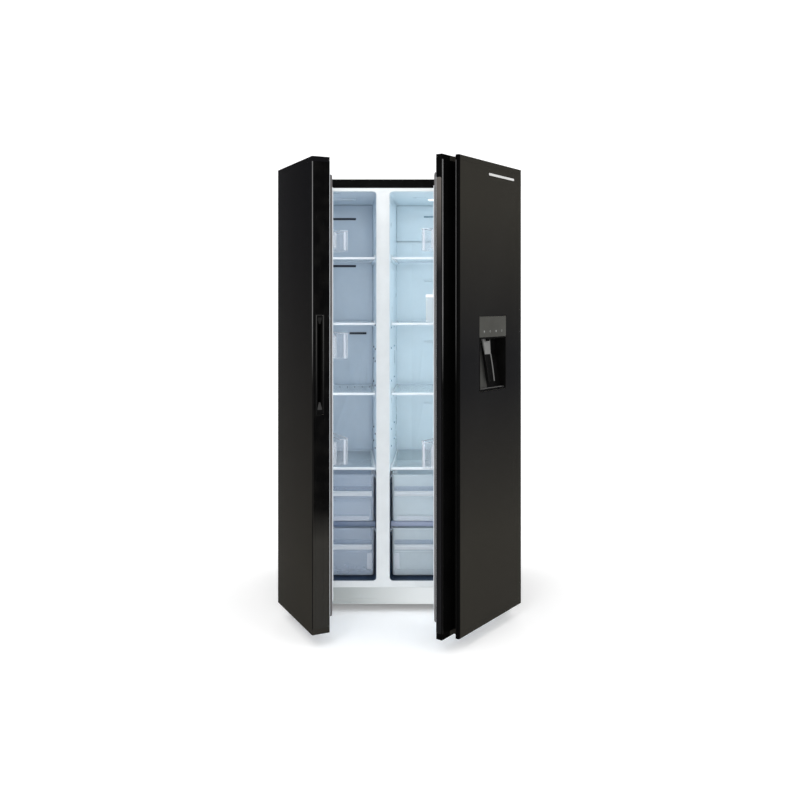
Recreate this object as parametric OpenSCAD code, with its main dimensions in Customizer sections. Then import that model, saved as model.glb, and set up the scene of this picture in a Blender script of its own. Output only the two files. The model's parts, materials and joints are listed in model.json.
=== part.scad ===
// Side by side refrigerator: freezer on the left, fridge on the right, both doors part open.
// Drawn with x = 0 at the cabinet's middle, y = 0 at its front plane, the floor at z = 0.

/* [Overall] */
// Width of the cabinet
cab_w = 908; // [740:1:960]
// Depth of the cabinet behind its front plane
cab_d = 600; // [560:1:700]
// Height of the cabinet's top above the floor
cab_top = 1741; // [1450:1:1900]
// Rise of the doors above the cabinet's top
door_rise = 29; // [20:1:40]
// Gap under the cabinet
foot_h = 25; // [15:1:40]

/* [Doors] */
// Opening angle of the freezer door
freezer_open = 64; // [0:1:120]
// Opening angle of the fridge door
fridge_open = 54; // [0:1:120]
// Thickness of a door without its seal
door_t = 70; // [55:1:85]
// Space between door and cabinet, taken up by the seal
door_gap = 12; // [9:0.5:16]
// Middle of the gap between the doors
split_x = -61; // [-120:1:0]
// Gap between the closed doors
split_gap = 5; // [3:0.5:10]
// Height of the doors' lower edge
door_z0 = 49; // [40:1:70]
// Distance of the hinge pin from the cabinet's side
pin_side = 18; // [15:1:25]
// Distance of the hinge pin behind the door's front
pin_back = 47; // [40:1:50]
// Radius of the hinge pins
pin_r = 5; // [4:0.1:7]
// Radial play of pins and shafts in their bores
play = 0.05; // [0.02:0.01:0.1]
// Thickness of the doors' end caps
cap_t = 18; // [14:1:26]
// Thickness of the doors' sheet
skin_t = 1.2; // [0.8:0.1:2]
// Height of the ridge around the inner side of a door
ridge_h = 28; // [20:1:36]
// Width of that ridge
ridge_w = 16; // [12:1:22]

/* [Grips and dispenser] */
// How far the fridge door's front panel stops short of its free edge
grip_set = 43.5; // [35:0.5:55]
// Depth of the grip channel
grip_d = 43; // [36:0.5:46]
// How far the channel runs behind the front panel
grip_in = 36; // [25:0.5:45]
// Thickness of the front panel's lip over the channel
lip_t = 14; // [10:0.5:18]
// Place of the pocket handle's lower end, as a share of the compartments' height
pocket_f = 0.4567; // [0.40:0.01:0.50]
// Length of the pocket handle
pocket_h = 360; // [250:1:400]
// Depth of the pocket handle
pocket_d = 38; // [25:1:45]
// Width of the dispenser
disp_w = 199; // [160:1:240]
// Distance of the dispenser from the hinge side of the fridge door
disp_side = 127; // [100:1:160]
// Place of the dispenser's lower edge, as a share of the compartments' height
disp_f = 0.5051; // [0.46:0.01:0.52]
// Height of the dispenser
disp_h = 278; // [240:1:290]
// Height of the dispenser's control panel
disp_panel = 78; // [60:1:90]
// Depth of the dispenser housing in the door
disp_d = 56; // [48:1:58]

/* [Compartments] */
// Height of the compartments' floor
comp_z0 = 120; // [110:1:150]
// Distance of the compartments' ceiling below the cabinet's top
comp_top = 49; // [40:1:70]
// Thickness of the side walls at the front
wall_t = 45; // [35:1:60]
// Thickness of the divider at the front
div_t = 53.3; // [45:0.1:70]
// Distance of the divider's middle from the middle of the door gap
div_off = -6; // [-10:1:10]
// Depth of the compartments
comp_d = 540; // [480:1:570]
// Depth of the compartments beside the machine room
comp_low_d = 385; // [340:1:420]
// Height of the ledge over the machine room
step_z = 345; // [330:1:380]
// Taper of the compartments at the divider over their full depth
draft_in = 30; // [10:1:40]
// Taper of the compartments at the outer walls over their full depth
draft_out = 12; // [5:1:20]
// Corner radius of the compartments' mouths
mouth_r = 15; // [8:1:25]
// Thickness of the liners
liner_t = 2; // [1.5:0.1:3]
// Distance of the upper shelves behind the front plane
shelf_y = 100; // [90:1:130]
// Distance of the drawers and the shelf over them behind the front plane
drawer_y = 45; // [40:1:60]
// Wall thickness of drawers and bins
tub_t = 2.5; // [2:0.1:4]
// How far the door bins stand out from the door
bin_out = 100; // [70:1:102]
// Height of the water tank
tank_h = 90; // [60:1:100]
// How far the shallow bin stands out
shallow_out = 40; // [25:1:42]

/* [Running gear] */
// Radius of the rear rollers
roller_r = 22; // [16:1:26]
// Radius of the levelling feet
foot_r = 20; // [15:1:25]

/* [Hidden] */
$fn = 48;
hw = cab_w/2;
sheet = 1;
fit = 0.3;
front_t = 2.7;
foam_y = 3;
comp_z1 = cab_top - comp_top;
door_z1 = cab_top + door_rise;
door_y0 = -door_t - door_gap;
door_y1 = -door_gap;
pin_x = hw - pin_side;
pin_y = door_y0 + pin_back;
div_x = split_x + div_off;
fz_a = -hw + wall_t;
fz_b = div_x - div_t/2;
fr_a = div_x + div_t/2;
fr_b = hw - wall_t;
fz_end = split_x - split_gap/2;
fr_end = split_x + split_gap/2;
lip_x = fr_end + grip_set;
chan_x = lip_x + grip_in;
chan_y = door_y0 + grip_d;
pan_z = 66.7;
pan_t = 3;
foam_z = 70;
room_y = comp_low_d + 47;
room_z = step_z - 47;
sill_z = comp_z0 - 26;
rail_z = cab_top - 35;
rear_y = cab_d - 2;
hinge_t = 3;
pocket_z0 = zf(pocket_f);
pocket_z1 = pocket_z0 + pocket_h;
disp_z0 = zf(disp_f);
disp_z1 = disp_z0 + disp_h;
disp_xb = hw - disp_side;
disp_xa = disp_xb - disp_w;
disp_xm = (disp_xa + disp_xb)/2;
disp_y1 = door_y0 + disp_d;
recess_top = disp_z1 - disp_panel - 4;
lever_y = door_y0 + 34;
lever_z = recess_top - 22;
lever_r = 3;
lever_len = lever_z - disp_z0 - 30;
tube_z = disp_z1 - 47;
tube_y = door_y0 + 24;
shaft_r = 3;
bed_y = cab_d - 85;
fan_x = 0;
fan_z = 165;
fan_r = 60;
evap_y = comp_d - 50;
evap_fan_x = (fz_a + fz_b)/2 - 10;
seal_w = 13;
seal_in = 4.5;
seal_end = 1.5;
seal_z0 = comp_z0 - 19;
seal_z1 = comp_z1 + 18;
ridge_gap = 6;
ridge_z0 = comp_z0 + 20;
ridge_z1 = comp_z1 - 20;
shelf_f = [0.8321, 0.6584, 0.4733];
low_shelf_f = 0.2824;
shelf_h = 5;
glass_t = 3.6;
drawer_f = [[0.1457, 0.2672, 0.222], [0.0045, 0.1285, 0.083]];
fz_bin_f = [[0.8365, 0.8855], [0.5802, 0.6431], [0.3289, 0.3925]];
fz_low_f = [0.0967, 0.1393];
fr_bin_f = [[0.8340, 0.8874], [0.3289, 0.3925]];
fr_low_f = [0.0967, 0.1393];
tank_z0 = disp_z1 - 20;
tank_z1 = tank_z0 + tank_h;
// the whole is moved so that its base is centred on the origin
reach = max((pin_x - fr_end)*sin(fridge_open) + (pin_back - grip_d)*cos(fridge_open),
    (pin_x - lip_x)*sin(fridge_open) + pin_back*cos(fridge_open),
    (pin_x + fz_end)*sin(freezer_open) + pin_back*cos(freezer_open)) - pin_y;
shift_y = (reach - cab_d - 3)/2;

function zf(f) = comp_z0 + f*(comp_z1 - comp_z0);
function arc(x, y, r, a0, a1, n = 5) = [for (i = [0:n]) let (a = a0 + (a1 - a0)*i/n) [x + r*cos(a), y + r*sin(a)]];
function rounded(x0, y0, x1, y1, r) = concat(arc(x1 - r, y1 - r, r, 0, 90), arc(x0 + r, y1 - r, r, 90, 180),
    arc(x0 + r, y0 + r, r, 180, 270), arc(x1 - r, y0 + r, r, 270, 360));
function arch(x0, z0, x1, z1, r) = concat([[x1, z0]], arc(x1 - r, z1 - r, r, 0, 90),
    arc(x0 + r, z1 - r, r, 90, 180), [[x0, z0]]);
function rect(x0, y0, x1, y1) = [[x0, y0], [x1, y0], [x1, y1], [x0, y1]];
// wall lines of the compartments at depth y
function wa(xa, d, y) = xa + d*y/comp_d;
function wb(xb, d, y) = xb - d*y/comp_d;
// outline between both wall lines, held off by g, from depth y0 to y1
function bay(c, y0, y1, g) = [[wa(c[0], c[2], y0) + g, y0], [wb(c[1], c[3], y0) - g, y0],
    [wb(c[1], c[3], y1) - g, y1], [wa(c[0], c[2], y1) + g, y1]];
fz = [fz_a, fz_b, draft_out, draft_in];
fr = [fr_a, fr_b, draft_in, draft_out];

module box(x0, y0, z0, x1, y1, z1) translate([x0, y0, z0]) cube([x1 - x0, y1 - y0, z1 - z0]);
module pz(z0, z1) translate([0, 0, z0]) linear_extrude(z1 - z0) children();
module py(y0, y1) translate([0, y1, 0]) rotate([90, 0, 0]) linear_extrude(y1 - y0) children();
module px(x0, x1) translate([x0, 0, 0]) rotate([90, 0, 90]) linear_extrude(x1 - x0) children();
module rod_z(x, y, z0, z1, r) translate([x, y, z0]) cylinder(r = r, h = z1 - z0);
module rod_y(x, z, y0, y1, r) translate([x, y0, z]) rotate([-90, 0, 0]) cylinder(r = r, h = y1 - y0);
module rod_x(y, z, x0, x1, r) translate([x0, y, z]) rotate([0, 90, 0]) cylinder(r = r, h = x1 - x0);
module both() { children(); mirror([1, 0, 0]) children(); }
module put() translate([0, shift_y, 0]) children();
module on_freezer_door() put() translate([-pin_x, pin_y, 0]) rotate([0, 0, -freezer_open])
    translate([pin_x, -pin_y, 0]) children();
module on_fridge_door() put() translate([pin_x, pin_y, 0]) rotate([0, 0, fridge_open])
    translate([-pin_x, -pin_y, 0]) children();

// ---------- cabinet ----------
module hollow(c, g, y0) intersection() {
    pz(comp_z0 - g - 8, comp_z1 + g + 8) polygon(bay(c, y0, comp_d + g, -g));
    py(y0 - 1, comp_d + g + 1) polygon(rounded(c[0] - g, comp_z0 - g, c[1] + g, comp_z1 + g, mouth_r + g));
    px(c[0] - g - 8, c[1] + g + 8) polygon([[y0 - 2, comp_z0 - g - 6], [comp_low_d + g, comp_z0 - g - 6],
        [comp_low_d + g, step_z - g], [comp_d + g + 2, step_z - g], [comp_d + g + 2, comp_z1 + g + 6],
        [y0 - 2, comp_z1 + g + 6]]);
}

module outer_shell() color([0.06, 0.06, 0.06]) put() py(0, rear_y) difference() {
    polygon(arch(-hw, foot_h, hw, cab_top, 5));
    polygon(arch(-hw + sheet, foot_h - 5, hw - sheet, cab_top - sheet, 4));
}

module back_panel() color([0.55, 0.56, 0.57]) put() py(rear_y + fit, cab_d)
    polygon(arch(-hw, room_z + 2, hw, cab_top, 5));

module insulation() color([0.93, 0.86, 0.62]) put() difference() {
    py(foam_y, rear_y) polygon(arch(-hw + sheet + fit, foam_z, hw - sheet - fit, cab_top - sheet - fit, 4));
    hollow(fz, liner_t + fit, foam_y - 1);
    hollow(fr, liner_t + fit, foam_y - 1);
    box(-hw, room_y, foam_z - 1, hw, cab_d, room_z);
}

module liner(c, shelf_back) difference() {
    union() {
        difference() {
            hollow(c, liner_t, foam_y);
            hollow(c, 0, foam_y - 1);
        }
        intersection() {
            hollow(c, 1, foam_y);
            union() {
                for (f = shelf_f) pz(zf(f) - shelf_h - 9, zf(f) - shelf_h - fit)
                    ledge(c, shelf_y + 12, shelf_back, 7);
                pz(zf(low_shelf_f) - shelf_h - 9, zf(low_shelf_f) - shelf_h - fit)
                    ledge(c, drawer_y + 25, shelf_back, 7);
                pz(zf(drawer_f[0][1]) - 18, zf(drawer_f[0][1]) - 6 - fit) ledge(c, drawer_y + 8, comp_low_d - 10, 4);
                pz(zf(drawer_f[1][1]) - 18, zf(drawer_f[1][1]) - 6 - fit) ledge(c, drawer_y + 8, comp_low_d - 10, 4);
            }
        }
    }
}
// drawing of two strips along the side walls, w wide
module ledge(c, y0, y1, w) difference() {
    polygon(bay(c, y0, y1, -1));
    polygon(bay(c, y0 - 5, y1 + 5, w));
}
module freezer_liner() color([0.80, 0.85, 0.88]) put() liner(fz, comp_d - 75);
module fridge_liner() color([0.86, 0.91, 0.93]) put() liner(fr, comp_d - 45);

module front_frame() color([0.95, 0.95, 0.95]) put() py(0, front_t) difference() {
    polygon(rect(-hw + sheet + fit, sill_z, hw - sheet - fit, rail_z - fit));
    polygon(rounded(fz_a, comp_z0, fz_b, comp_z1, mouth_r));
    polygon(rounded(fr_a, comp_z0, fr_b, comp_z1, mouth_r));
}

module top_rail() color([0.05, 0.05, 0.05]) put() py(0, front_t)
    polygon(arch(-hw + sheet + fit, rail_z, hw - sheet - fit, cab_top - sheet - fit, 4));

foot_x = hw - 60;
foot_y = 45;
roll_y = cab_d - 55;
module base_pan() color([0.45, 0.46, 0.47]) put() difference() {
    union() {
        box(-hw + sheet + fit, foam_y + fit, pan_z, hw - sheet - fit, rear_y - fit, pan_z + pan_t);
        box(-hw + sheet + fit, foam_y + fit, foot_h + 3, hw - sheet - fit, foam_y + 2.3, pan_z - fit);
        both() box(-hw + sheet + fit, foam_y + 2.6, foot_h + 3, -hw + sheet + 2.3, rear_y - fit, pan_z - fit);
        both() rod_z(foot_x, foot_y, foot_h + 15, pan_z - fit, 11);
    }
    both() rod_z(foot_x, foot_y, foot_h, pan_z - 2, 6 + play);
}

module kick_plate() color([0.78, 0.79, 0.79]) put() box(-hw + 54, 0.2, foot_h + 2, hw - 54, front_t, sill_z - fit);

module machine_cover() color([0.35, 0.35, 0.36]) put() difference() {
    union() {
        box(-hw + sheet, rear_y + fit, foot_h + 6, hw - sheet, cab_d, room_z + 1.5);
        rod_y(hw - 90, 120, rear_y - 6, cab_d + 3, 9);
    }
    rod_y(hw - 90, 120, rear_y - 7, cab_d + 4, 4);
    for (row = [0:7]) for (col = [-3:2])
        box(col*118 - 6, rear_y - 1, 90 + row*24, col*118 + 76, cab_d + 1, 96 + row*24);
}

module compressor() color([0.08, 0.08, 0.09]) put() translate([-hw + 190, bed_y, 0]) {
    union() {
        translate([0, 0, 84]) rotate_extrude() polygon(concat([[0, 0]], arc(50, 20, 20, -90, 0),
            arc(50, 110, 20, 0, 60), [[0, 148]]));
        box(-95, -45, 80, 95, 45, 83.5);
        rod_z(0, 0, 82, 90, 40);
    }
    for (x = [-84, 84]) for (y = [-35, 35]) rod_z(x, y, pan_z + pan_t + fit, 80 - fit, 9);
}

module condenser() color([0.25, 0.25, 0.26]) put() {
    union() {
        for (z = [95:35:235]) for (y = [bed_y - 45, bed_y - 15]) rod_x(y, z, 42, 330, 4);
        for (y = [bed_y - 45, bed_y - 15]) {
            box(36, y - 4, 91, 44, y + 4, 239);
            box(328, y - 4, 91, 336, y + 4, 239);
        }
        for (x = [60:25:310]) box(x, bed_y - 55, pan_z + pan_t + fit, x + 1, bed_y - 5, 248);
        box(60, bed_y - 55, pan_z + pan_t + fit, 311, bed_y - 5, pan_z + pan_t + 1.5);
    }
    difference() {
        union() {
            box(fan_x - 14, bed_y - 76, pan_z + pan_t + fit, fan_x - 10, bed_y + 76, fan_z + 74);
            rod_x(bed_y, fan_z, fan_x - 44, fan_x - 12, 20);
            rod_x(bed_y, fan_z, fan_x - 14, fan_x + 12, shaft_r);
        }
        difference() {
            rod_x(bed_y, fan_z, fan_x - 15, fan_x - 9.9, fan_r + 5);
            rod_x(bed_y, fan_z, fan_x - 16, fan_x - 9, 20);
            box(fan_x - 16, bed_y - 80, fan_z - 5, fan_x - 9, bed_y + 80, fan_z + 5);
        }
    }
}

module condenser_fan() color([0.15, 0.15, 0.16]) put() translate([fan_x - 7, bed_y, fan_z]) difference() {
    union() {
        rod_x(0, 0, 0, 15, 17);
        for (i = [0:4]) rotate([i*72, 0, 0]) translate([7.5, 0, 15]) rotate([0, 0, 30])
            box(-1, -12, 0, 1, 12, fan_r - 16);
    }
    rod_x(0, 0, -1, 16, shaft_r + play);
}

module drain_tray() color([0.10, 0.10, 0.10]) put() translate([0, bed_y - 55, pan_z + pan_t + fit]) difference() {
    box(-hw + 288, 0, 0, fan_x - 52, 110, 30);
    box(-hw + 290, 2, 2, fan_x - 54, 108, 31);
}

module evaporator() color([0.75, 0.76, 0.77]) put() {
    union() {
        for (z = [step_z + 90:50:step_z + 340]) rod_x(evap_y + 20, z, fz_a + 34, fz_b - 54, 4);
        for (x = [fz_a + 30, fz_b - 58]) box(x, evap_y + 16, step_z + 86, x + 8, evap_y + 24, step_z + 344);
        for (x = [fz_a + 50:20:fz_b - 70]) box(x, evap_y + 3, step_z + 75, x + 1, evap_y + 38, step_z + 355);
    }
    union() {
        rod_y(evap_fan_x, step_z + 455, evap_y + 26, comp_d - fit, 22);
        rod_y(evap_fan_x, step_z + 455, evap_y + 4, evap_y + 28, shaft_r);
        box(evap_fan_x - 70, comp_d - 8, step_z + 448, evap_fan_x + 70, comp_d - fit, step_z + 462);
    }
}

module evaporator_fan() color([0.85, 0.86, 0.87]) put() translate([evap_fan_x, evap_y + 7, step_z + 455])
    difference() {
        union() {
            rod_y(0, 0, 0, 16, 16);
            for (i = [0:4]) rotate([0, i*72, 0]) translate([0, 8, 14]) rotate([0, 0, 35])
                box(-11, -1, 0, 11, 1, 40);
        }
        rod_y(0, 0, -1, 17, shaft_r + play);
    }

module freezer_duct_cover() color([0.66, 0.72, 0.78]) put() difference() {
    pz(step_z + 2, comp_z1 - 2) difference() {
        polygon(bay(fz, evap_y - 10, comp_d - 1, 1.5));
        polygon(bay(fz, evap_y - 7, comp_d + 9, 3.5));
    }
    for (f = [0.9586, 0.8213]) box(fz_b - 212, evap_y - 11, zf(f) - 5.5, fz_b - 104, evap_y, zf(f) + 5.5);
    box(fz_b - 135, evap_y - 11, zf(0.6253) - 5.5, fz_b - 56, evap_y, zf(0.6253) + 5.5);
    for (x = [56, 95, 134]) rod_y(fz_b - x, zf(0.4599), evap_y - 11, evap_y, 4);
}

module fridge_duct_cover() color([0.80, 0.87, 0.90]) put() difference() {
    union() {
        pz(zf(0.895), comp_z1 - 2) difference() {
            polygon(bay(fr, comp_d - 32, comp_d - 1, 1.5));
            polygon(bay(fr, comp_d - 29, comp_d + 9, 3.5));
        }
        pz(step_z + 150, zf(0.895) + 2) difference() {
            polygon(rect(fr_a + 100, comp_d - 22, fr_b - 100, comp_d - 1));
            polygon(rect(fr_a + 103, comp_d - 19, fr_b - 103, comp_d + 9));
        }
    }
    box(fr_a + 154, comp_d - 40, zf(0.967) - 4, fr_b - 154, comp_d - 20, zf(0.967) + 4);
    for (f = [0.78, 0.6, 0.42]) box(fr_a + 154, comp_d - 40, zf(f) - 4, fr_b - 154, comp_d - 15, zf(f) + 4);
}

module ceiling_lamps() color([0.96, 0.97, 1.0]) put() for (c = [fz, fr])
    pz(comp_z1 - 8, comp_z1 - fit) polygon(rounded((c[0] + c[1])/2 - 62, 225, (c[0] + c[1])/2 + 62, 275, 8));

module shelf_ring(c, y0, y1, z) {
    pz(z - shelf_h, z + shelf_h) difference() {
        polygon(bay(c, y0, y1, 1.5));
        polygon(bay(c, y0 + 14, y1 - 14, 13));
    }
}
module shelf_frame(c, y0, y1, z) difference() {
    shelf_ring(c, y0, y1, z);
    pz(z, z + shelf_h + 1) polygon(bay(c, y0 + 8, y1 - 8, 8));
}
module shelf_set(c, back) {
    for (f = shelf_f) shelf_frame(c, shelf_y, back, zf(f));
    shelf_frame(c, drawer_y + 2, back, zf(low_shelf_f));
    pz(zf(drawer_f[1][1]) + 2, zf(drawer_f[0][0]) - 4) polygon(bay(c, drawer_y + 17, drawer_y + 27, 1.5));
}
module glass_set(c, back) {
    for (f = shelf_f) pz(zf(f) + 0.2, zf(f) + 0.2 + glass_t) polygon(bay(c, shelf_y + 9, back - 9, 9));
    pz(zf(low_shelf_f) + 0.2, zf(low_shelf_f) + 0.2 + glass_t) polygon(bay(c, drawer_y + 11, back - 9, 9));
}
module freezer_shelves() color([0.95, 0.97, 1.0]) put() shelf_set(fz, evap_y - 14);
module freezer_glass() color([0.75, 0.87, 0.92, 0.5]) put() glass_set(fz, evap_y - 14);
module fridge_shelves() color([0.95, 0.97, 1.0]) put() shelf_set(fr, comp_d - 36);
module fridge_glass() color([0.75, 0.87, 0.92, 0.5]) put() glass_set(fr, comp_d - 36);

// ---------- hinges, feet and rollers ----------
module top_hinges() color([0.50, 0.51, 0.52]) put() both() union() {
    px(pin_x - 15, pin_x + 15) polygon([[pin_y, door_z1 + 0.6], [11, door_z1 + 0.6], [11, cab_top + 0.2],
        [80, cab_top + 0.2], [80, cab_top + 0.2 + hinge_t], [11 + hinge_t, cab_top + 0.2 + hinge_t],
        [11 + hinge_t, door_z1 + 0.6 + hinge_t], [pin_y, door_z1 + 0.6 + hinge_t]]);
    rod_z(pin_x, pin_y, door_z1 + 0.6, door_z1 + 0.6 + hinge_t, 15);
    rod_z(pin_x, pin_y, door_z1 - 14, door_z1 + 1.6, pin_r);
}

module bottom_hinges() color([0.50, 0.51, 0.52]) put() both() union() {
    px(pin_x - 15, pin_x + 15) polygon([[pin_y, door_z0 - 5], [0.2, door_z0 - 5], [0.2, foot_h + 4],
        [front_t + 0.2, foot_h + 4], [front_t + 0.2, sill_z - 2], [0.2, sill_z - 2], [0.2, door_z0 - 1.2],
        [pin_y, door_z0 - 1.2]]);
    rod_z(pin_x, pin_y, door_z0 - 5, door_z0 - 1.2, 15);
    rod_z(pin_x, pin_y, door_z0 - 2, door_z0 + 13, pin_r);
}

module hinge_covers() color([0.07, 0.07, 0.07]) put() both() difference() {
    box(hw - 56, 2, cab_top + fit, hw - 0.5, 96, door_z1 + 8);
    box(hw - 53.5, 1, cab_top - 1, hw - 2.5, 93.5, door_z1 + 5.5);
}

module roller_brackets() color([0.50, 0.51, 0.52]) put() both() union() {
    for (x = [-15, 12]) box(foot_x + x, roll_y - 14, roller_r - 9, foot_x + x + 3, roll_y + 14, pan_z - fit);
    box(foot_x - 15, roll_y - 14, pan_z - fit - 3, foot_x + 15, roll_y + 14, pan_z - fit);
    rod_x(roll_y, roller_r, foot_x - 14, foot_x + 14, 4);
}
module roller(s) color([0.15, 0.15, 0.15]) put() difference() {
    rod_x(roll_y, roller_r, s*foot_x - 11.5, s*foot_x + 11.5, roller_r);
    rod_x(roll_y, roller_r, s*foot_x - 13, s*foot_x + 13, 4 + play);
}
module roller_left() roller(-1);
module roller_right() roller(1);
module foot(s) color([0.12, 0.12, 0.12]) put() union() {
    rod_z(s*foot_x, foot_y, 0, 10, foot_r);
    rod_z(s*foot_x, foot_y, 9, pan_z - 5, 6);
    rod_z(s*foot_x, foot_y, 10, 16, 12);
}
module foot_left() foot(-1);
module foot_right() foot(1);

// ---------- drawers ----------
module drawer(c, d) color([0.80, 0.88, 0.95, 0.55]) put() {
    z0 = zf(d[0]);
    z1 = zf(d[1]);
    lip = zf(d[2]);
    y1 = comp_low_d - 6;
    difference() {
        union() {
            pz(z0, z1) polygon(bay(c, drawer_y, y1, 5.5));
            pz(z1 - 6, z1) polygon(bay(c, drawer_y, y1, 1.8));
            px(wa(c[0], c[2], drawer_y) + 17, wb(c[1], c[3], drawer_y) - 17)
                polygon([[drawer_y + 1, lip - 16], [drawer_y - 11, lip], [drawer_y - 11, lip + 4],
                    [drawer_y + 1, lip + 4]]);
        }
        pz(z0 + tub_t, z1 + 1) polygon(bay(c, drawer_y + tub_t + 0.5, y1 - tub_t, 5.5 + tub_t));
    }
}
module freezer_drawer_upper() drawer(fz, drawer_f[0]);
module freezer_drawer_lower() drawer(fz, drawer_f[1]);
module fridge_drawer_upper() drawer(fr, drawer_f[0]);
module fridge_drawer_lower() drawer(fr, drawer_f[1]);

// ---------- door parts, drawn with the door shut ----------
skin_z0 = door_z0 + cap_t + 0.2;
skin_z1 = door_z1 - cap_t - 0.2;
function door_out(x0, x1) = concat(arc(x0 + 4, door_y0 + 4, 4, 180, 270), arc(x1 - 4, door_y0 + 4, 4, 270, 360),
    [[x1, door_y1 - 2 - fit], [x0, door_y1 - 2 - fit]]);
function door_in(x0, x1, g, y1) = concat(arc(x0 + 4, door_y0 + 4, 4 - g, 180, 270),
    arc(x1 - 4, door_y0 + 4, 4 - g, 270, 360), [[x1 - g, y1], [x0 + g, y1]]);
// outline of the fridge door with its grip channel
function grip_out(y1) = concat([[hw, y1], [fr_end, y1], [fr_end, chan_y], [chan_x, chan_y],
    [chan_x, door_y0 + lip_t], [lip_x, door_y0 + lip_t]], arc(lip_x + 4, door_y0 + 4, 4, 180, 270),
    arc(hw - 4, door_y0 + 4, 4, 270, 360));
module pocket_space(g) box(fz_end - pocket_d - g, door_y0 + 18 - g, pocket_z0 - g, fz_end + 1,
    door_y0 + 42 + g, pocket_z1 + g);
module disp_space(g) box(disp_xa - g, door_y0 - 2, disp_z0 - g, disp_xb + g, disp_y1 + g, disp_z1 + g);

module freezer_door_skin() color([0.07, 0.07, 0.07]) on_freezer_door() difference() {
    pz(skin_z0, skin_z1) difference() {
        polygon(door_out(-hw, fz_end));
        polygon(door_in(-hw, fz_end, skin_t, door_y1 + 5));
    }
    pocket_space(0.1);
}
module freezer_door_core() color([0.93, 0.86, 0.62]) on_freezer_door() difference() {
    pz(skin_z0, skin_z1) polygon(door_in(-hw, fz_end, skin_t + fit, door_y1 - 2 - fit));
    pocket_space(fit);
}
module door_liner(x0, x1, ra, rb, bins) {
    z0 = door_z0 + 12;
    z1 = door_z1 - 12;
    box(x0 + 1, door_y1 - 2, z0, x1 - 1, door_y1, z1);
    for (x = [ra, rb - ridge_w])
        box(x, door_y1 + fit, ridge_z0, x + ridge_w, door_y1 + ridge_h, ridge_z1);
    for (z = [ridge_z0, ridge_z1 - ridge_w])
        box(ra + ridge_w + fit, door_y1 + fit, z, rb - ridge_w - fit, door_y1 + ridge_h, z + ridge_w);
    for (z = bins) for (x = [ra + ridge_w + fit, rb - ridge_w - fit - 7])
        box(x, door_y1 + fit, z - 9, x + 7, door_y1 + ridge_h - 4, z - 0.2);
}
fz_ra = fz_a + ridge_gap;
fz_rb = fz_b - ridge_gap;
fr_ra = fr_a + ridge_gap;
fr_rb = fr_b - ridge_gap;
module freezer_door_liner() color([0.93, 0.94, 0.95]) on_freezer_door()
    door_liner(-hw, fz_end, fz_ra, fz_rb, [for (f = concat(fz_bin_f, [fz_low_f])) zf(f[0])]);
module fridge_door_liner() color([0.93, 0.94, 0.95]) on_fridge_door() difference() {
    door_liner(fr_end, hw, fr_ra, fr_rb,
        concat([tank_z0], [for (f = concat(fr_bin_f, [fr_low_f])) zf(f[0])]));
    rod_y(disp_xm, tube_z, door_y1 - 5, door_y1 + 5, 8);
}
module seal(x0, x1) py(door_y1 + fit, -seal_end) difference() {
    polygon(rounded(x0, seal_z0, x1, seal_z1, 6));
    polygon(rounded(x0 + seal_w, seal_z0 + seal_w, x1 - seal_w, seal_z1 - seal_w, 4));
}
module freezer_door_gasket() color([0.62, 0.63, 0.65]) on_freezer_door() seal(-hw + 9, fz_end - seal_in);
module fridge_door_gasket() color([0.62, 0.63, 0.65]) on_fridge_door() seal(fr_end + seal_in, hw - 9);
module freezer_door_caps() color([0.05, 0.05, 0.05]) on_freezer_door() difference() {
    union() for (z = [door_z0, door_z1 - cap_t]) pz(z, z + cap_t) polygon(door_out(-hw, fz_end));
    rod_z(-pin_x, pin_y, door_z0 - 1, door_z0 + 15, pin_r + play);
    rod_z(-pin_x, pin_y, door_z1 - 16, door_z1 + 1, pin_r + play);
    box(-hw, door_y1 - 2 - 2*fit, door_z0 + 11, fz_end, door_y1, door_z1 - 11);
}
module fridge_door_caps() color([0.05, 0.05, 0.05]) on_fridge_door() difference() {
    union() for (z = [door_z0, door_z1 - cap_t]) pz(z, z + cap_t) polygon(grip_out(door_y1 - 2 - fit));
    rod_z(pin_x, pin_y, door_z0 - 1, door_z0 + 15, pin_r + play);
    rod_z(pin_x, pin_y, door_z1 - 16, door_z1 + 1, pin_r + play);
    box(fr_end, door_y1 - 2 - 2*fit, door_z0 + 11, hw, door_y1, door_z1 - 11);
}
module freezer_handle_pocket() color([0.10, 0.10, 0.11]) on_freezer_door() difference() {
    pocket_space(-0.1);
    box(fz_end - pocket_d + 2.5, door_y0 + 20.5, pocket_z0 + 34, fz_end + 2, door_y0 + 39.5, pocket_z1 - 27);
    box(fz_end, door_y0, pocket_z0 - 1, fz_end + 3, door_y1, pocket_z1 + 1);
}

module fridge_door_skin() color([0.07, 0.07, 0.07]) on_fridge_door() difference() {
    pz(skin_z0, skin_z1) difference() {
        polygon(concat([[hw, door_y1 - 2 - fit], [chan_x + 4, door_y1 - 2 - fit], [chan_x + 4, door_y0 + lip_t + 6],
            [lip_x, door_y0 + lip_t + 6]], arc(lip_x + 4, door_y0 + 4, 4, 180, 270),
            arc(hw - 4, door_y0 + 4, 4, 270, 360)));
        polygon(concat([[hw - skin_t, door_y1 + 5], [chan_x, door_y1 + 5], [chan_x, door_y0 + lip_t + 20],
            [lip_x + skin_t, door_y0 + lip_t + 20]], arc(lip_x + 4, door_y0 + 4, 4 - skin_t, 180, 270),
            arc(hw - 4, door_y0 + 4, 4 - skin_t, 270, 360)));
        polygon(rect(lip_x - 1, door_y0 + lip_t, chan_x + 6, door_y1 + 6));
    }
    disp_space(0.1);
}
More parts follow.
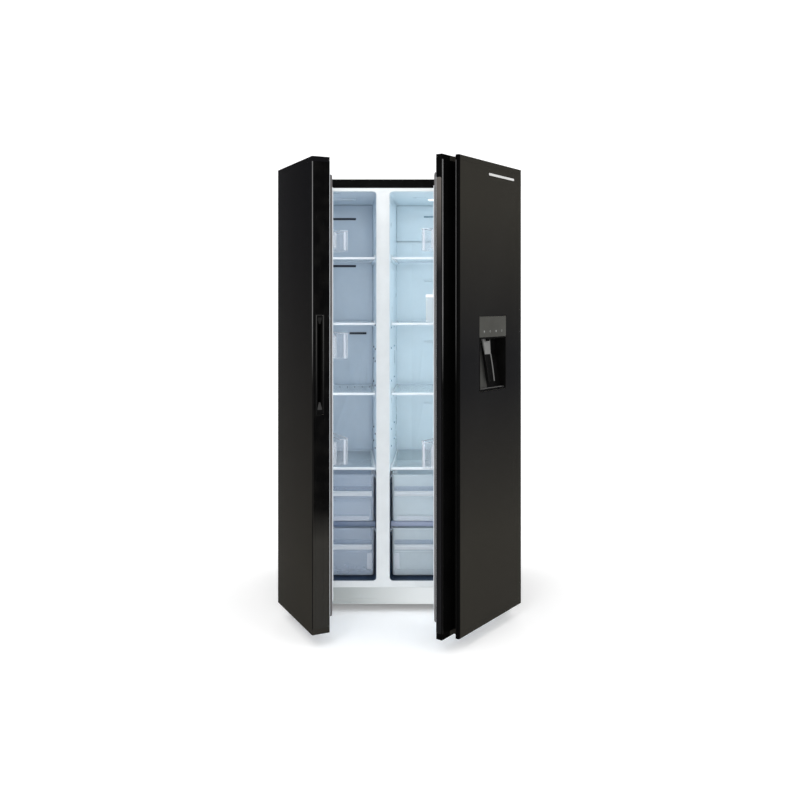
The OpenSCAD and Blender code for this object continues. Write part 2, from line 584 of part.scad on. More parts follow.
module fridge_door_core() color([0.93, 0.86, 0.62]) on_fridge_door() difference() {
    pz(skin_z0, skin_z1) polygon(concat([[hw - skin_t - fit, door_y1 - 2 - fit],
        [fr_end + 2 + fit, door_y1 - 2 - fit], [fr_end + 2 + fit, chan_y + 2 + fit],
        [chan_x + 2 + fit, chan_y + 2 + fit], [chan_x + 2 + fit, door_y0 + lip_t - 2 - fit],
        [lip_x + skin_t + fit, door_y0 + lip_t - 2 - fit]],
        arc(lip_x + 4, door_y0 + 4, 4 - skin_t - fit, 180, 270),
        arc(hw - 4, door_y0 + 4, 4 - skin_t - fit, 270, 360)));
    disp_space(fit);
    rod_y(disp_xm, tube_z, disp_y1 - 2, door_y1, 8);
}
module fridge_grip_channel() color([0.03, 0.03, 0.03]) on_fridge_door() pz(skin_z0, skin_z1)
    polygon([[fr_end, door_y1 - 2 - fit], [fr_end, chan_y], [chan_x, chan_y], [chan_x, door_y0 + lip_t],
        [lip_x + skin_t + fit, door_y0 + lip_t], [lip_x + skin_t + fit, door_y0 + lip_t - 2],
        [chan_x + 2, door_y0 + lip_t - 2], [chan_x + 2, chan_y + 2], [fr_end + 2, chan_y + 2],
        [fr_end + 2, door_y1 - 2 - fit]]);

// ---------- water dispenser ----------
module dispenser_housing() color([0.25, 0.25, 0.24]) on_fridge_door() difference() {
    union() {
        difference() {
            box(disp_xa, door_y0 - 1, disp_z0, disp_xb, disp_y1, disp_z1);
            px(disp_xa + 5, disp_xb - 5) polygon([[door_y0 - 3, disp_z0 + 4], [door_y0 + 20, disp_z0 + 4],
                [disp_y1 - 4, recess_top], [door_y0 - 3, recess_top]]);
            box(disp_xa + 4, door_y0 + 3, recess_top + 4, disp_xb - 4, disp_y1 + 2, disp_z1 - 3);
            px(disp_xa + 4, disp_xb - 4) polygon([[door_y0 + 26, disp_z0 + 4], [disp_y1 + 2, disp_z0 + 4],
                [disp_y1 + 2, recess_top - 24]]);
        }
        for (x = [disp_xm - 36, disp_xm + 30])
            box(x, lever_y - 7, lever_z - 7, x + 6, lever_y + 7, recess_top + 1);
    }
    rod_x(lever_y, lever_z, disp_xm - 34, disp_xm + 34, lever_r + play);
    rod_z(disp_xm, tube_y, recess_top - 2, recess_top + 6, 8);
}
module dispenser_nozzle() color([0.55, 0.55, 0.54]) on_fridge_door() difference() {
    union() {
        rod_z(disp_xm, tube_y, recess_top - 14, tube_z + 7.5, 7.5);
        rod_y(disp_xm, tube_z, tube_y, door_y1 + 22, 7.5);
        rod_z(disp_xm, door_y1 + 22, tube_z - 8, tank_z0 - 1, 14);
    }
    rod_z(disp_xm, tube_y, recess_top - 15, tube_z + 2, 4);
    rod_y(disp_xm, tube_z, tube_y, door_y1 + 22, 4);
    rod_z(disp_xm, door_y1 + 22, tube_z - 2, tank_z0 + 2, 9);
}
module dispenser_paddle() color([0.16, 0.16, 0.17]) on_fridge_door() union() {
    rod_x(lever_y, lever_z, disp_xm - 33, disp_xm + 33, lever_r);
    px(disp_xm - 27, disp_xm + 27) polygon([[lever_y - 1, lever_z + 2],
        [lever_y - 1 - 0.193*lever_len, lever_z - lever_len], [lever_y + 2 - 0.193*lever_len, lever_z - lever_len - 1],
        [lever_y + 3, lever_z]]);
}
module water_tank() color([0.85, 0.92, 0.96, 0.5]) on_fridge_door() union() {
    difference() {
        pz(tank_z0, tank_z1)
            polygon(rounded(fr_ra + ridge_w + 1, door_y1 + 0.6, fr_rb - ridge_w - 1, door_y1 + 76, 12));
        pz(tank_z0 + tub_t, tank_z1 + 1)
            polygon(rounded(fr_ra + ridge_w + 3.5, door_y1 + 3.1, fr_rb - ridge_w - 3.5, door_y1 + 73.5, 9.5));
    }
    rod_z(disp_xm, door_y1 + 22, tank_z0 - 8, tank_z0 + 1, 8);
}
module tank_lid() color([0.94, 0.95, 0.96]) on_fridge_door() union() {
    pz(tank_z1 + 0.2, tank_z1 + 12)
        polygon(rounded(fr_ra + ridge_w + 1, door_y1 + 0.6, fr_rb - ridge_w - 1, door_y1 + 76, 12));
    pz(tank_z1 - 6, tank_z1 + 2)
        polygon(rounded(fr_ra + ridge_w + 4, door_y1 + 3.6, fr_rb - ridge_w - 4, door_y1 + 73, 9));
    rod_z(fr_ra + 60, door_y1 + 45, tank_z1 + 11, tank_z1 + 30, 20);
}

// ---------- door bins ----------
module bin(ra, rb, f, out) color([0.85, 0.92, 0.96, 0.5]) {
    x0 = ra + ridge_w + 1;
    x1 = rb - ridge_w - 1;
    z0 = zf(f[0]);
    z1 = zf(f[1]);
    y1 = door_y1 + out;
    k = min(22, out - 20);
    t = tub_t;
    pz(z0, z0 + t) polygon(concat([[x1, door_y1 + 0.6]], arc(x1 - k, y1 - k, k, 0, 90),
        arc(x0 + k, y1 - k, k, 90, 180), [[x0, door_y1 + 0.6]]));
    pz(z0 + t - 0.01, z1) difference() {
        polygon(concat([[x1, door_y1 + 0.6]], arc(x1 - k, y1 - k, k, 0, 90),
            arc(x0 + k, y1 - k, k, 90, 180), [[x0, door_y1 + 0.6]]));
        polygon(concat([[x1 - t, door_y1 + 0.6 + t]], arc(x1 - k, y1 - k, k - t, 0, 90),
            arc(x0 + k, y1 - k, k - t, 90, 180), [[x0 + t, door_y1 + 0.6 + t]]));
    }
}
module freezer_bin_top() on_freezer_door() bin(fz_ra, fz_rb, fz_bin_f[0], bin_out);
module freezer_bin_middle() on_freezer_door() bin(fz_ra, fz_rb, fz_bin_f[1], bin_out);
module freezer_bin_lower() on_freezer_door() bin(fz_ra, fz_rb, fz_bin_f[2], bin_out);
module freezer_bin_shallow() on_freezer_door() bin(fz_ra, fz_rb, fz_low_f, shallow_out);
module fridge_bin_top() on_fridge_door() bin(fr_ra, fr_rb, fr_bin_f[0], bin_out);
module fridge_bin_lower() on_fridge_door() bin(fr_ra, fr_rb, fr_bin_f[1], bin_out);
module fridge_bin_shallow() on_fridge_door() bin(fr_ra, fr_rb, fr_low_f, shallow_out);

outer_shell();
back_panel();
insulation();
freezer_liner();
fridge_liner();
front_frame();
top_rail();
base_pan();
kick_plate();
machine_cover();
compressor();
condenser();
condenser_fan();
drain_tray();
evaporator();
evaporator_fan();
freezer_duct_cover();
fridge_duct_cover();
ceiling_lamps();
freezer_shelves();
freezer_glass();
fridge_shelves();
fridge_glass();
top_hinges();
bottom_hinges();
hinge_covers();
roller_brackets();
roller_left();
roller_right();
foot_left();
foot_right();
freezer_drawer_upper();
freezer_drawer_lower();
fridge_drawer_upper();
fridge_drawer_lower();
freezer_door_skin();
freezer_door_core();
freezer_door_liner();
freezer_door_gasket();
freezer_door_caps();
freezer_handle_pocket();
fridge_door_skin();
fridge_door_core();
fridge_door_liner();
fridge_door_gasket();
fridge_door_caps();
fridge_grip_channel();
dispenser_housing();
dispenser_nozzle();
dispenser_paddle();
water_tank();
tank_lid();
freezer_bin_top();
freezer_bin_middle();
freezer_bin_lower();
freezer_bin_shallow();
fridge_bin_top();
fridge_bin_lower();
fridge_bin_shallow();
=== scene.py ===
"""Side by side refrigerator: finishes, fitted pieces and stage on the CAD frame."""
import json
import math

import bmesh
import bpy
from mathutils import Matrix, Vector

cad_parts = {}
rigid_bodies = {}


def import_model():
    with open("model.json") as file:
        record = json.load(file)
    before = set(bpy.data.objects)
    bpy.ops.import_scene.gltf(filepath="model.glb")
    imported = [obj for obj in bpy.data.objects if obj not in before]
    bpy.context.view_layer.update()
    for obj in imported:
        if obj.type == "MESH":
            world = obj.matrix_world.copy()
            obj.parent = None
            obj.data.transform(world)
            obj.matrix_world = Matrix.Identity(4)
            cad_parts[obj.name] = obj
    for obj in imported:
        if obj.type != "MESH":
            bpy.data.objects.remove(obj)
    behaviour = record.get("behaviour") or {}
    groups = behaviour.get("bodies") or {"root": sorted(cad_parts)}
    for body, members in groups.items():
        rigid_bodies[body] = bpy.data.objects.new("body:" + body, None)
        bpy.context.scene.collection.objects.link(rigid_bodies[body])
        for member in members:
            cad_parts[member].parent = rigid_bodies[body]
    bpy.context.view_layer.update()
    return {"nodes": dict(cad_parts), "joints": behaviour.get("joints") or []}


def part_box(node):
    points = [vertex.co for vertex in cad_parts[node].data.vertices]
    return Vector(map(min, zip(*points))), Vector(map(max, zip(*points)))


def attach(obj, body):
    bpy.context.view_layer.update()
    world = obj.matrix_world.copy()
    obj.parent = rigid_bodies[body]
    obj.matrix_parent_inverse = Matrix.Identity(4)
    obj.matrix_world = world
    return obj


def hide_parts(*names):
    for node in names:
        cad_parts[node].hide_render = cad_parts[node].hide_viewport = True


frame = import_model()
QUARTER_TURN = math.radians(90)

bl_info = {
    "name": "Side by side refrigerator",
    "version": (1, 0, 0),
    "blender": (4, 5, 0),
    "location": "3D View > Sidebar > Refrigerator",
    "description": "Builds the finishes and fitted pieces of a side by side refrigerator",
    "category": "Object",
}

# ---------------------------------------------------------------- places
JOINTS = {j["name"]: j for j in frame["joints"]}
PIN_X, PIN_Y = 436.0, -35.0
SHIFT = JOINTS["fridge_door_hinge"]["pos_m"][1] * 1000 - PIN_Y
FREEZER_OPEN, FRIDGE_OPEN = 64.0, 54.0


def door_matrix(pin_x, angle):
    """From shut-door millimetres to the frame's metres, for a door standing open."""
    return (Matrix.Scale(0.001, 4) @ Matrix.Translation((pin_x, PIN_Y + SHIFT, 0))
            @ Matrix.Rotation(math.radians(angle), 4, "Z") @ Matrix.Translation((-pin_x, -PIN_Y, 0)))


PLACE = {
    "cabinet": Matrix.Scale(0.001, 4) @ Matrix.Translation((0, SHIFT, 0)),
    "freezer": door_matrix(-PIN_X, -FREEZER_OPEN),
    "fridge": door_matrix(PIN_X, FRIDGE_OPEN),
}
# both compartments, in millimetres with the cabinet's front at y = 0
FLOOR_Z, CEIL_Z = 120.0, 1692.0
COMP_D = 540.0
# each compartment: left and right wall at the front, how far each leans in towards the back
FZ = (-409.0, -93.65, 12.0, 30.0)
FR = (-40.35, 409.0, 30.0, 12.0)
# shelves as shares of the height, and where their front trims begin
SHELF_F, SHELF_Y = (0.8321, 0.6584, 0.4733), 100.0
LOW_SHELF_F, LOW_SHELF_Y = 0.2824, 47.0
# each drawer: foot, rim and lip as shares of the height
DRAWER_F = ((0.1457, 0.2672, 0.222), (0.0045, 0.1285, 0.083))
# the shut doors: front face, foot, top, then left and right edges
DOOR_Y0, DOOR_Z0, DOOR_Z1 = -82.0, 49.0, 1770.0
FZ_DOOR, FR_DOOR = (-454.0, -63.5), (-58.5, 454.0)
# the raised ridges of the door liners, left and right
FZ_RIDGE, FR_RIDGE = (-403.0, -99.65), (-34.35, 403.0)
# each bin: door, ridge, foot and rim as shares of the height, depth
BINS = {
    "freezer_bin_top": ("freezer", FZ_RIDGE, 0.8365, 0.8855, 100.0),
    "freezer_bin_middle": ("freezer", FZ_RIDGE, 0.5802, 0.6431, 100.0),
    "freezer_bin_lower": ("freezer", FZ_RIDGE, 0.3289, 0.3925, 100.0),
    "freezer_bin_shallow": ("freezer", FZ_RIDGE, 0.0967, 0.1393, 40.0),
    "fridge_bin_top": ("fridge", FR_RIDGE, 0.8340, 0.8874, 100.0),
    "fridge_bin_lower": ("fridge", FR_RIDGE, 0.3289, 0.3925, 100.0),
    "fridge_bin_shallow": ("fridge", FR_RIDGE, 0.0967, 0.1393, 40.0),
}


def zf(share):
    """The height at a share of the compartments' height."""
    return FLOOR_Z + share * (CEIL_Z - FLOOR_Z)


def wall_a(c, y):
    """The left wall of a compartment at depth y."""
    return c[0] + c[2] * y / COMP_D


def wall_b(c, y):
    """The right wall of a compartment at depth y."""
    return c[1] - c[3] * y / COMP_D


# ---------------------------------------------------------------- shader kit
class Sock:
    """A socket with arithmetic; every operation adds its Math node."""

    def __init__(self, paint, socket):
        self.paint, self.socket = paint, socket

    def _op(self, kind, a, b=None):
        return self.paint.node("ShaderNodeMath", {"operation": kind}, [a] if b is None else [a, b])

    def __add__(self, o):
        return self._op("ADD", self, o)

    def __mul__(self, o):
        return self._op("MULTIPLY", self, o)

    def __sub__(self, o):
        return self._op("SUBTRACT", self, o)

    def __pow__(self, o):
        return self._op("POWER", self, o)

    def clamp(self):
        return self.paint.node("ShaderNodeClamp", {}, [self])


class Paint:
    """One material's node tree."""

    def __init__(self, name):
        self.mat = bpy.data.materials.new(name)
        self.mat.use_nodes = True
        self.tree = self.mat.node_tree
        self.bsdf = self.tree.nodes["Principled BSDF"]

    def node(self, kind, settings=None, values=(), out=0):
        """Adds a node: settings first, then the values or links of its sockets in order or by name."""
        n = self.tree.nodes.new(kind)
        for key, value in (settings or {}).items():
            if key == "stops":
                ramp = n.color_ramp
                while len(ramp.elements) < len(value):
                    ramp.elements.new(0.5)
                for stop, (pos, colour) in zip(ramp.elements, value):
                    stop.position, stop.color = pos, (*colour, 1.0)
            else:
                setattr(n, key, value)
        pairs = values.items() if isinstance(values, dict) else enumerate(values)
        for key, value in pairs:
            if value is None:
                continue
            if isinstance(value, Sock):
                self.tree.links.new(value.socket, n.inputs[key])
            else:
                n.inputs[key].default_value = value
        return Sock(self, n.outputs[out])

    def place(self):
        return self.node("ShaderNodeTexCoord", out=3)

    def axis(self, which):
        return self.node("ShaderNodeSeparateXYZ", {}, [self.place()], out="XYZ".index(which))

    def stretched(self, scale):
        return self.node("ShaderNodeMapping", {}, {"Vector": self.place(), "Scale": scale})

    def noise(self, scale, detail=3.0, rough=0.5, vector=None):
        return self.node("ShaderNodeTexNoise", {},
                         {"Vector": vector or self.place(), "Scale": scale,
                          "Detail": detail, "Roughness": rough})

    def mix(self, mask, a, b):
        """Colour a where mask is 0 and b where it is 1."""
        n = self.tree.nodes.new("ShaderNodeMix")
        n.data_type = "RGBA"
        for socket, value in ((n.inputs[0], mask), (n.inputs[6], a), (n.inputs[7], b)):
            if isinstance(value, Sock):
                self.tree.links.new(value.socket, socket)
            else:
                socket.default_value = (*value, 1.0) if isinstance(value, tuple) else value
        return Sock(self, n.outputs[2])

    def spread(self, sock, lo, hi, a=0.0, b=1.0):
        return self.node("ShaderNodeMapRange", {}, [sock, lo, hi, a, b])

    def relief(self, height, strength=0.2, distance=0.0005):
        return self.node("ShaderNodeBump", {}, {"Strength": strength,
                                                "Distance": distance, "Height": height})

    def finish(self, **sockets):
        for key, value in sockets.items():
            socket = self.bsdf.inputs[key.replace("_", " ")]
            if isinstance(value, Sock):
                self.tree.links.new(value.socket, socket)
            elif isinstance(value, tuple) and len(value) == 3:
                socket.default_value = (*value, 1.0)
            else:
                socket.default_value = value
        return self.mat


# where the fridge door's sheet begins and ends its roll, in millimetres across the shut door; the rolled
# part gets painted shade
ROLL_SHADE_EDGE = (-8.0, -4.0)
# weak mirror shine, so that the black parts stay black at glancing angles
SATIN = {"Specular_IOR_Level": 0.05, "IOR": 1.12}
LOW_GLOSS = {"Specular_IOR_Level": 0.05, "IOR": 1.15}


def painted(name, dark, light, rough=0.3, spread=0.06, scale=40.0, bump=0.05, grain=900.0, **more):
    """A finish whose tone, gloss and skin all vary gently over the surface."""
    p = Paint(name)
    cloud = p.noise(scale, 4.0, 0.6)
    fine = p.noise(grain, 2.0, 0.5)
    tone = p.mix(p.spread(cloud, 0.3, 0.7), dark, light)
    gloss = p.spread(cloud, 0.25, 0.75, rough - spread, rough + spread)
    return p.finish(Base_Color=tone, Roughness=gloss, Normal=p.relief(fine, bump, 0.0002), **more)


def door_paint_with_painted_reflection(side):
    """Black door paint; the tone drifts with height as a painted reflection of the floor and the lit room,
    under a very fine orange peel.
    """
    name = side + "_door_gloss"
    p = Paint(name)
    dark, floor_reflection = (0.0056, 0.0056, 0.0064), (0.0250, 0.0232, 0.0196)
    if side == "freezer":
        # painted floor reflection: the freezer door turns lighter and warmer towards its foot
        tone = p.mix(p.spread(p.axis("Z"), 1.75, 0.25) ** 1.7, dark, floor_reflection)
    else:
        # painted reflection: the fridge door is lighter towards its top and foot, darker at mid height
        off = p.node("ShaderNodeMath", {"operation": "ABSOLUTE"}, [p.axis("Z") - 1.0])
        tone = p.mix(p.spread(off, 0.05, 0.62), (0.0105, 0.0105, 0.0112), (0.0265, 0.0248, 0.0210))
        # the sheet rolls back along the handle side, and that rolled part is painted near black as shade
        row = PLACE["fridge"].inverted()[0]
        across = p.axis("X") * row[0] + p.axis("Y") * row[1] + row[3]
        tone = p.mix(p.spread(across, ROLL_SHADE_EDGE[0], ROLL_SHADE_EDGE[1]), (0.002, 0.002, 0.002), tone)
    peel = p.noise(1300.0, 1.0)
    return p.finish(
        Base_Color=tone, Roughness=peel * 0.08 + 0.24, Normal=p.relief(peel, 0.03, 0.0001),
        **SATIN)


def fading_painted_light(name, bright, dark, z0, z1, rough=0.3):
    """A satin strip with painted light: its tone falls from bright above z1 to dark below z0."""
    p = Paint(name)
    tone = p.mix(p.spread(p.axis("Z"), z0, z1) * p.spread(p.noise(20.0), 0.2, 0.6, 0.85, 1.0), dark, bright)
    return p.finish(Base_Color=tone, Roughness=p.spread(p.noise(30.0), 0.3, 0.7, rough - 0.05, rough + 0.05),
                               **SATIN)


def kick_paint_with_painted_light():
    """Grey kick plate paint, with painted light that makes it lighter to one side."""
    p = Paint("kick_paint_with_painted_light")
    # painted light: the plate brightens from one end towards the other along x
    tone = p.mix(p.spread(p.axis("X"), -0.2, 0.2), (0.46, 0.49, 0.485), (0.96, 0.98, 0.975))
    fine = p.noise(500.0, 2.0)
    return p.finish(Base_Color=tone, Roughness=p.spread(fine, 0.3, 0.7, 0.4, 0.5),
                                       Normal=p.relief(fine, 0.06, 0.0003))


def clear_plastic(name, tint, body=0.35, edge=0.85, rough=0.12, frost=0.0):
    """Clear moulded plastic: thin faces let light through, glancing faces and edges are whiter with a
    painted sheen.
    """
    p = Paint(name)
    facing = p.node("ShaderNodeLayerWeight", {}, [0.35], out=1)
    cloud = p.noise(30.0, 3.0)
    alpha = p.spread(facing, 0.0, 0.9, body, edge) + (cloud - 0.5) * 0.04 + frost
    # painted sheen: a whitened tint that glancing faces take on
    white = tuple(min(1.0, c * 1.25 + 0.12) for c in tint)
    return p.finish(
        Base_Color=p.mix(p.spread(facing, 0.1, 0.9), tint, white),
        Roughness=p.spread(cloud, 0.3, 0.7, rough, rough + 0.08), Alpha=alpha.clamp(),
        Normal=p.relief(p.noise(60.0, 1.0), 0.03, 0.0004))


def glass_plate(name, tint, edge_tint):
    """Shelf glass: nearly clear on its faces, green-blue along its edges."""
    p = Paint(name)
    up = p.node("ShaderNodeSeparateXYZ", {}, [p.node("ShaderNodeNewGeometry", out=1)], out=2)
    face = p.node("ShaderNodeMath", {"operation": "ABSOLUTE"}, [up])
    smear = p.noise(25.0, 3.0)
    return p.finish(
        Base_Color=p.mix(face, edge_tint, tint), Alpha=p.spread(face, 0.2, 0.9, 0.85, 0.26),
        Roughness=p.spread(smear, 0.35, 0.7, 0.03, 0.09))


def metal(name, tone, rough=0.35, streak=(2.0, 2.0, 400.0), metallic=1.0):
    """Rolled or plated metal with fine streaks."""
    p = Paint(name)
    lines = p.noise(6.0, 4.0, 0.6, p.stretched(streak))
    cloud = p.noise(18.0, 3.0)
    dark = tuple(c * 0.92 for c in tone)
    return p.finish(
        Base_Color=p.mix(p.spread(cloud, 0.3, 0.7), dark, tone), Metallic=metallic,
        Roughness=p.spread(lines, 0.3, 0.7, rough - 0.08, rough + 0.1), Normal=p.relief(lines, 0.05, 0.0004))


MATERIALS = {}


def finishes():
    """Every finish of the refrigerator by name, made at the first call."""
    if MATERIALS:
        return MATERIALS
    MATERIALS.update({
        "shell": painted("cabinet_black", (0.010, 0.010, 0.011), (0.016, 0.016, 0.017), 0.34, 0.05,
                         9.0, 0.04, **LOW_GLOSS),
        "rear": metal("rear_sheet", (0.46, 0.47, 0.48), 0.42, (1.0, 1.0, 60.0), 0.85),
        "foam": painted("foam", (0.80, 0.68, 0.42), (0.92, 0.83, 0.58), 0.9, 0.05, 60.0, 0.6, 260.0),
        "freezer_liner": painted("freezer_liner", (0.55, 0.64, 0.72),
                                 (0.60, 0.69, 0.78), 0.3, 0.05, 6.0, 0.05),
        "fridge_liner": painted("fridge_liner", (0.69, 0.80, 0.86),
                                (0.73, 0.84, 0.90), 0.3, 0.05, 6.0, 0.05),
        "white": painted("white_frame", (0.76, 0.79, 0.80), (0.82, 0.85, 0.86), 0.34, 0.05, 12.0, 0.04),
        "black": painted("black_rail", (0.003, 0.003, 0.003), (0.006, 0.006, 0.006), 0.38, 0.06,
                         30.0, 0.08, **LOW_GLOSS),
        "kick": kick_paint_with_painted_light(),
        "pan": metal("galvanised", (0.55, 0.56, 0.57), 0.45, (30.0, 30.0, 30.0)),
        "dark_steel": painted("dark_steel", (0.03, 0.03, 0.032), (0.06, 0.06, 0.062), 0.5, 0.08, 40.0, 0.15),
        "plated": metal("zinc_plate", (0.66, 0.66, 0.65), 0.3, (60.0, 60.0, 60.0)),
        "fins": metal("aluminium_fins", (0.80, 0.81, 0.82), 0.32),
        "moulding": painted("black_moulding", (0.010, 0.010, 0.010), (0.018, 0.018, 0.018), 0.5, 0.06,
                            30.0, 0.2, **LOW_GLOSS),
        "duct": painted("freezer_duct", (0.51, 0.60, 0.69), (0.56, 0.65, 0.74), 0.4, 0.05, 7.0, 0.05),
        "fridge_duct": painted("fridge_duct", (0.69, 0.80, 0.86), (0.73, 0.84, 0.90), 0.4, 0.05, 7.0, 0.05),
        "trim": painted("shelf_trim", (0.86, 0.90, 0.94), (0.93, 0.96, 0.99), 0.22, 0.04, 20.0, 0.03),
        "lamp": painted("lamp_cover", (0.90, 0.93, 0.95), (0.97, 0.98, 1.0), 0.4, 0.05, 30.0, 0.05,
                        Emission_Color=(0.9, 0.95, 1.0), Emission_Strength=0.6),
        "glass": glass_plate("shelf_glass", (0.70, 0.82, 0.86), (0.30, 0.55, 0.58)),
        "freezer_door": door_paint_with_painted_reflection("freezer"), "fridge_door": door_paint_with_painted_reflection("fridge"),
        "door_liner": painted("door_liner", (0.64, 0.67, 0.70), (0.72, 0.74, 0.77), 0.35, 0.05, 10.0, 0.05),
        "seal": painted("door_seal", (0.11, 0.105, 0.105), (0.14, 0.135, 0.135), 0.6, 0.06, 40.0, 0.15),
        "groove": painted("groove_gloss", (0.001, 0.001, 0.001), (0.002, 0.002, 0.002), 0.16, 0.03,
                          10.0, 0.02, **LOW_GLOSS),
        "edge": painted("edge_gloss", (0.002, 0.002, 0.002), (0.004, 0.004, 0.004), 0.16, 0.04,
                        10.0, 0.02, **LOW_GLOSS),
        "panel": painted("dispenser_panel", (0.052, 0.052, 0.047), (0.066, 0.066, 0.060), 0.3, 0.05,
                         12.0, 0.03, **LOW_GLOSS),
        "recess": painted("dispenser_recess", (0.002, 0.002, 0.002), (0.005, 0.005, 0.005), 0.22, 0.05,
                          14.0, 0.03, **LOW_GLOSS),
        "nozzle": painted("nozzle_grey", (0.15, 0.15, 0.147), (0.19, 0.19, 0.186), 0.35, 0.05, 30.0, 0.05),
        "drawer": clear_plastic("drawer_plastic", (0.70, 0.83, 1.0), 0.25, 0.7),
        "fresh_drawer": clear_plastic("fresh_drawer_plastic", (0.80, 0.92, 1.0), 0.38, 0.75),
        "bin": clear_plastic("bin_plastic", (0.74, 0.84, 1.0), 0.03, 0.22),
        "tank": clear_plastic("tank_plastic", (0.70, 0.82, 0.90), 0.40, 0.9),
        "trim_clear": clear_plastic("pull_plastic", (0.86, 0.93, 1.0), 0.5, 0.9),
        "frost": clear_plastic("frosted_plastic", (0.84, 0.91, 1.0), 0.22, 0.8, 0.4),
        "rib": clear_plastic("bin_rib", (0.72, 0.82, 1.0), 0.05, 0.35, 0.3),
        "rim": clear_plastic("rim_plastic", (0.84, 0.90, 1.0), 0.14, 0.6, 0.2),
        "edge_white": clear_plastic("bin_edge", (0.84, 0.90, 1.0), 0.34, 0.7, 0.2),
        "hollow": clear_plastic("pull_shade", (0.36, 0.46, 0.60), 0.35, 0.6),
        "rail": painted("shelf_rail", (0.54, 0.62, 0.70), (0.60, 0.68, 0.76), 0.3, 0.05, 20.0, 0.03),
        # painted highlight on the fridge door's end, bright at the top and fading downwards
        "end_trim": fading_painted_light("door_end_trim", (0.11, 0.10, 0.092), (0.010, 0.010, 0.011), 1.35, 1.68),
        # painted floor reflection on the freezer door's end face: lighter below, near black above
        "end_side": fading_painted_light("door_end_side", (0.0022, 0.0022, 0.0023), (0.026, 0.025, 0.0225), 0.38, 0.5),
        # painted highlights: thin edge lines, bright at the top and fading out below
        "line": fading_painted_light("edge_painted_highlight", (0.13, 0.13, 0.13), (0.006, 0.006, 0.006), 0.95, 1.2),
        "soft_line": fading_painted_light("soft_edge_painted_highlight", (0.07, 0.07, 0.07), (0.006, 0.006, 0.006), 0.95, 1.2),
        "navy": painted("navy_plastic", (0.004, 0.010, 0.026), (0.008, 0.018, 0.04), 0.4, 0.05, 30.0, 0.05),
        # navy for the slot vanes and vent holes, also for the painted shade sheet in the drawer bays
        "navy_edge": painted("navy_vane_and_painted_shade", (0.012, 0.028, 0.06), (0.02, 0.04, 0.08), 0.4, 0.05, 30.0, 0.05),
        "slot_blue": painted("slot_blue", (0.22, 0.34, 0.42), (0.27, 0.39, 0.47), 0.4, 0.05, 30.0, 0.05),
        "freezer_bar": painted("freezer_bar", (0.15, 0.205, 0.32), (0.19, 0.25, 0.36),
                               0.35, 0.05, 20.0, 0.05),
        "fridge_bar": painted("fridge_bar", (0.34, 0.40, 0.55), (0.38, 0.44, 0.60), 0.35, 0.05, 20.0, 0.05),
        "panel_dark": painted("dispenser_back", (0.055, 0.055, 0.052), (0.07, 0.07, 0.066), 0.35, 0.05,
                              14.0, 0.04, **LOW_GLOSS),
        # painted highlight: the pull's lower end is a lighter grey than its dark top
        "foot_grey": painted("pull_foot_grey", (0.028, 0.028, 0.028), (0.042, 0.042, 0.041), 0.3, 0.05, 30.0,
                             0.03, **LOW_GLOSS),
        # painted highlight: the pull pocket's rim is lighter at the top and darker below
        "pocket_rim": fading_painted_light("pull_pocket_rim_painted_highlight", (0.036, 0.036, 0.035), (0.008, 0.008, 0.008), 0.9, 1.15),
        "lever_head": painted("lever_head", (0.105, 0.105, 0.102), (0.14, 0.14, 0.136),
                              0.35, 0.05, 30.0, 0.05),
        "tip_dark": painted("pull_tip_dark", (0.010, 0.010, 0.010), (0.016, 0.016, 0.015), 0.3, 0.05, 30.0,
                            0.03, **LOW_GLOSS),
        "key": painted("key_print", (0.15, 0.155, 0.15), (0.19, 0.195, 0.19), 0.4, 0.05, 30.0, 0.03),
        "rim_grey": painted("lever_rim", (0.045, 0.045, 0.044), (0.06, 0.06, 0.058), 0.3, 0.05, 30.0, 0.03),
        "lid": painted("lid_white", (0.86, 0.88, 0.90), (0.94, 0.95, 0.96), 0.3, 0.04, 20.0, 0.04),
        "copper": metal("copper_pipe", (0.72, 0.36, 0.20), 0.3, (80.0, 80.0, 80.0)),
        "badge": metal("badge_metal", (0.75, 0.75, 0.74), 0.25, (300.0, 300.0, 8.0)),
    })
    return MATERIALS


NODE_FINISH = {
    "outer_shell": "shell", "back_panel": "rear", "insulation": "foam", "freezer_liner": "freezer_liner",
    "fridge_liner": "fridge_liner", "front_frame": "white", "top_rail": "black", "base_pan": "pan",
    "kick_plate": "kick", "machine_cover": "dark_steel", "compressor": "dark_steel",
    "condenser": "dark_steel", "condenser_fan": "moulding", "drain_tray": "moulding", "evaporator": "fins",
    "evaporator_fan": "lid", "freezer_duct_cover": "duct", "fridge_duct_cover": "fridge_duct",
    "ceiling_lamps": "lamp", "freezer_shelves": "trim", "freezer_glass": "glass", "fridge_shelves": "trim",
    "fridge_glass": "glass", "top_hinges": "plated", "bottom_hinges": "plated", "hinge_covers": "moulding",
    "roller_brackets": "plated", "roller_left": "moulding", "roller_right": "moulding",
    "foot_left": "moulding", "foot_right": "moulding", "freezer_drawer_upper": "drawer",
    "freezer_drawer_lower": "drawer", "fridge_drawer_upper": "drawer", "fridge_drawer_lower": "drawer",
    "freezer_door_skin": "freezer_door", "freezer_door_core": "foam", "freezer_door_liner": "door_liner",
    "freezer_door_gasket": "seal", "freezer_door_caps": "freezer_door", "freezer_handle_pocket": "edge",
    "fridge_door_skin": "fridge_door", "fridge_door_core": "foam", "fridge_door_liner": "door_liner",
    "fridge_door_gasket": "seal", "fridge_door_caps": "fridge_door", "fridge_grip_channel": "groove",
    "dispenser_housing": "panel", "dispenser_nozzle": "nozzle", "dispenser_paddle": "recess",
    "water_tank": "tank", "tank_lid": "lid", **{name: "bin" for name in BINS},
}


# ---------------------------------------------------------------- mesh kit
def link(name, mesh):
    obj = bpy.data.objects.new(name, mesh)
    bpy.context.scene.collection.objects.link(obj)
    return obj


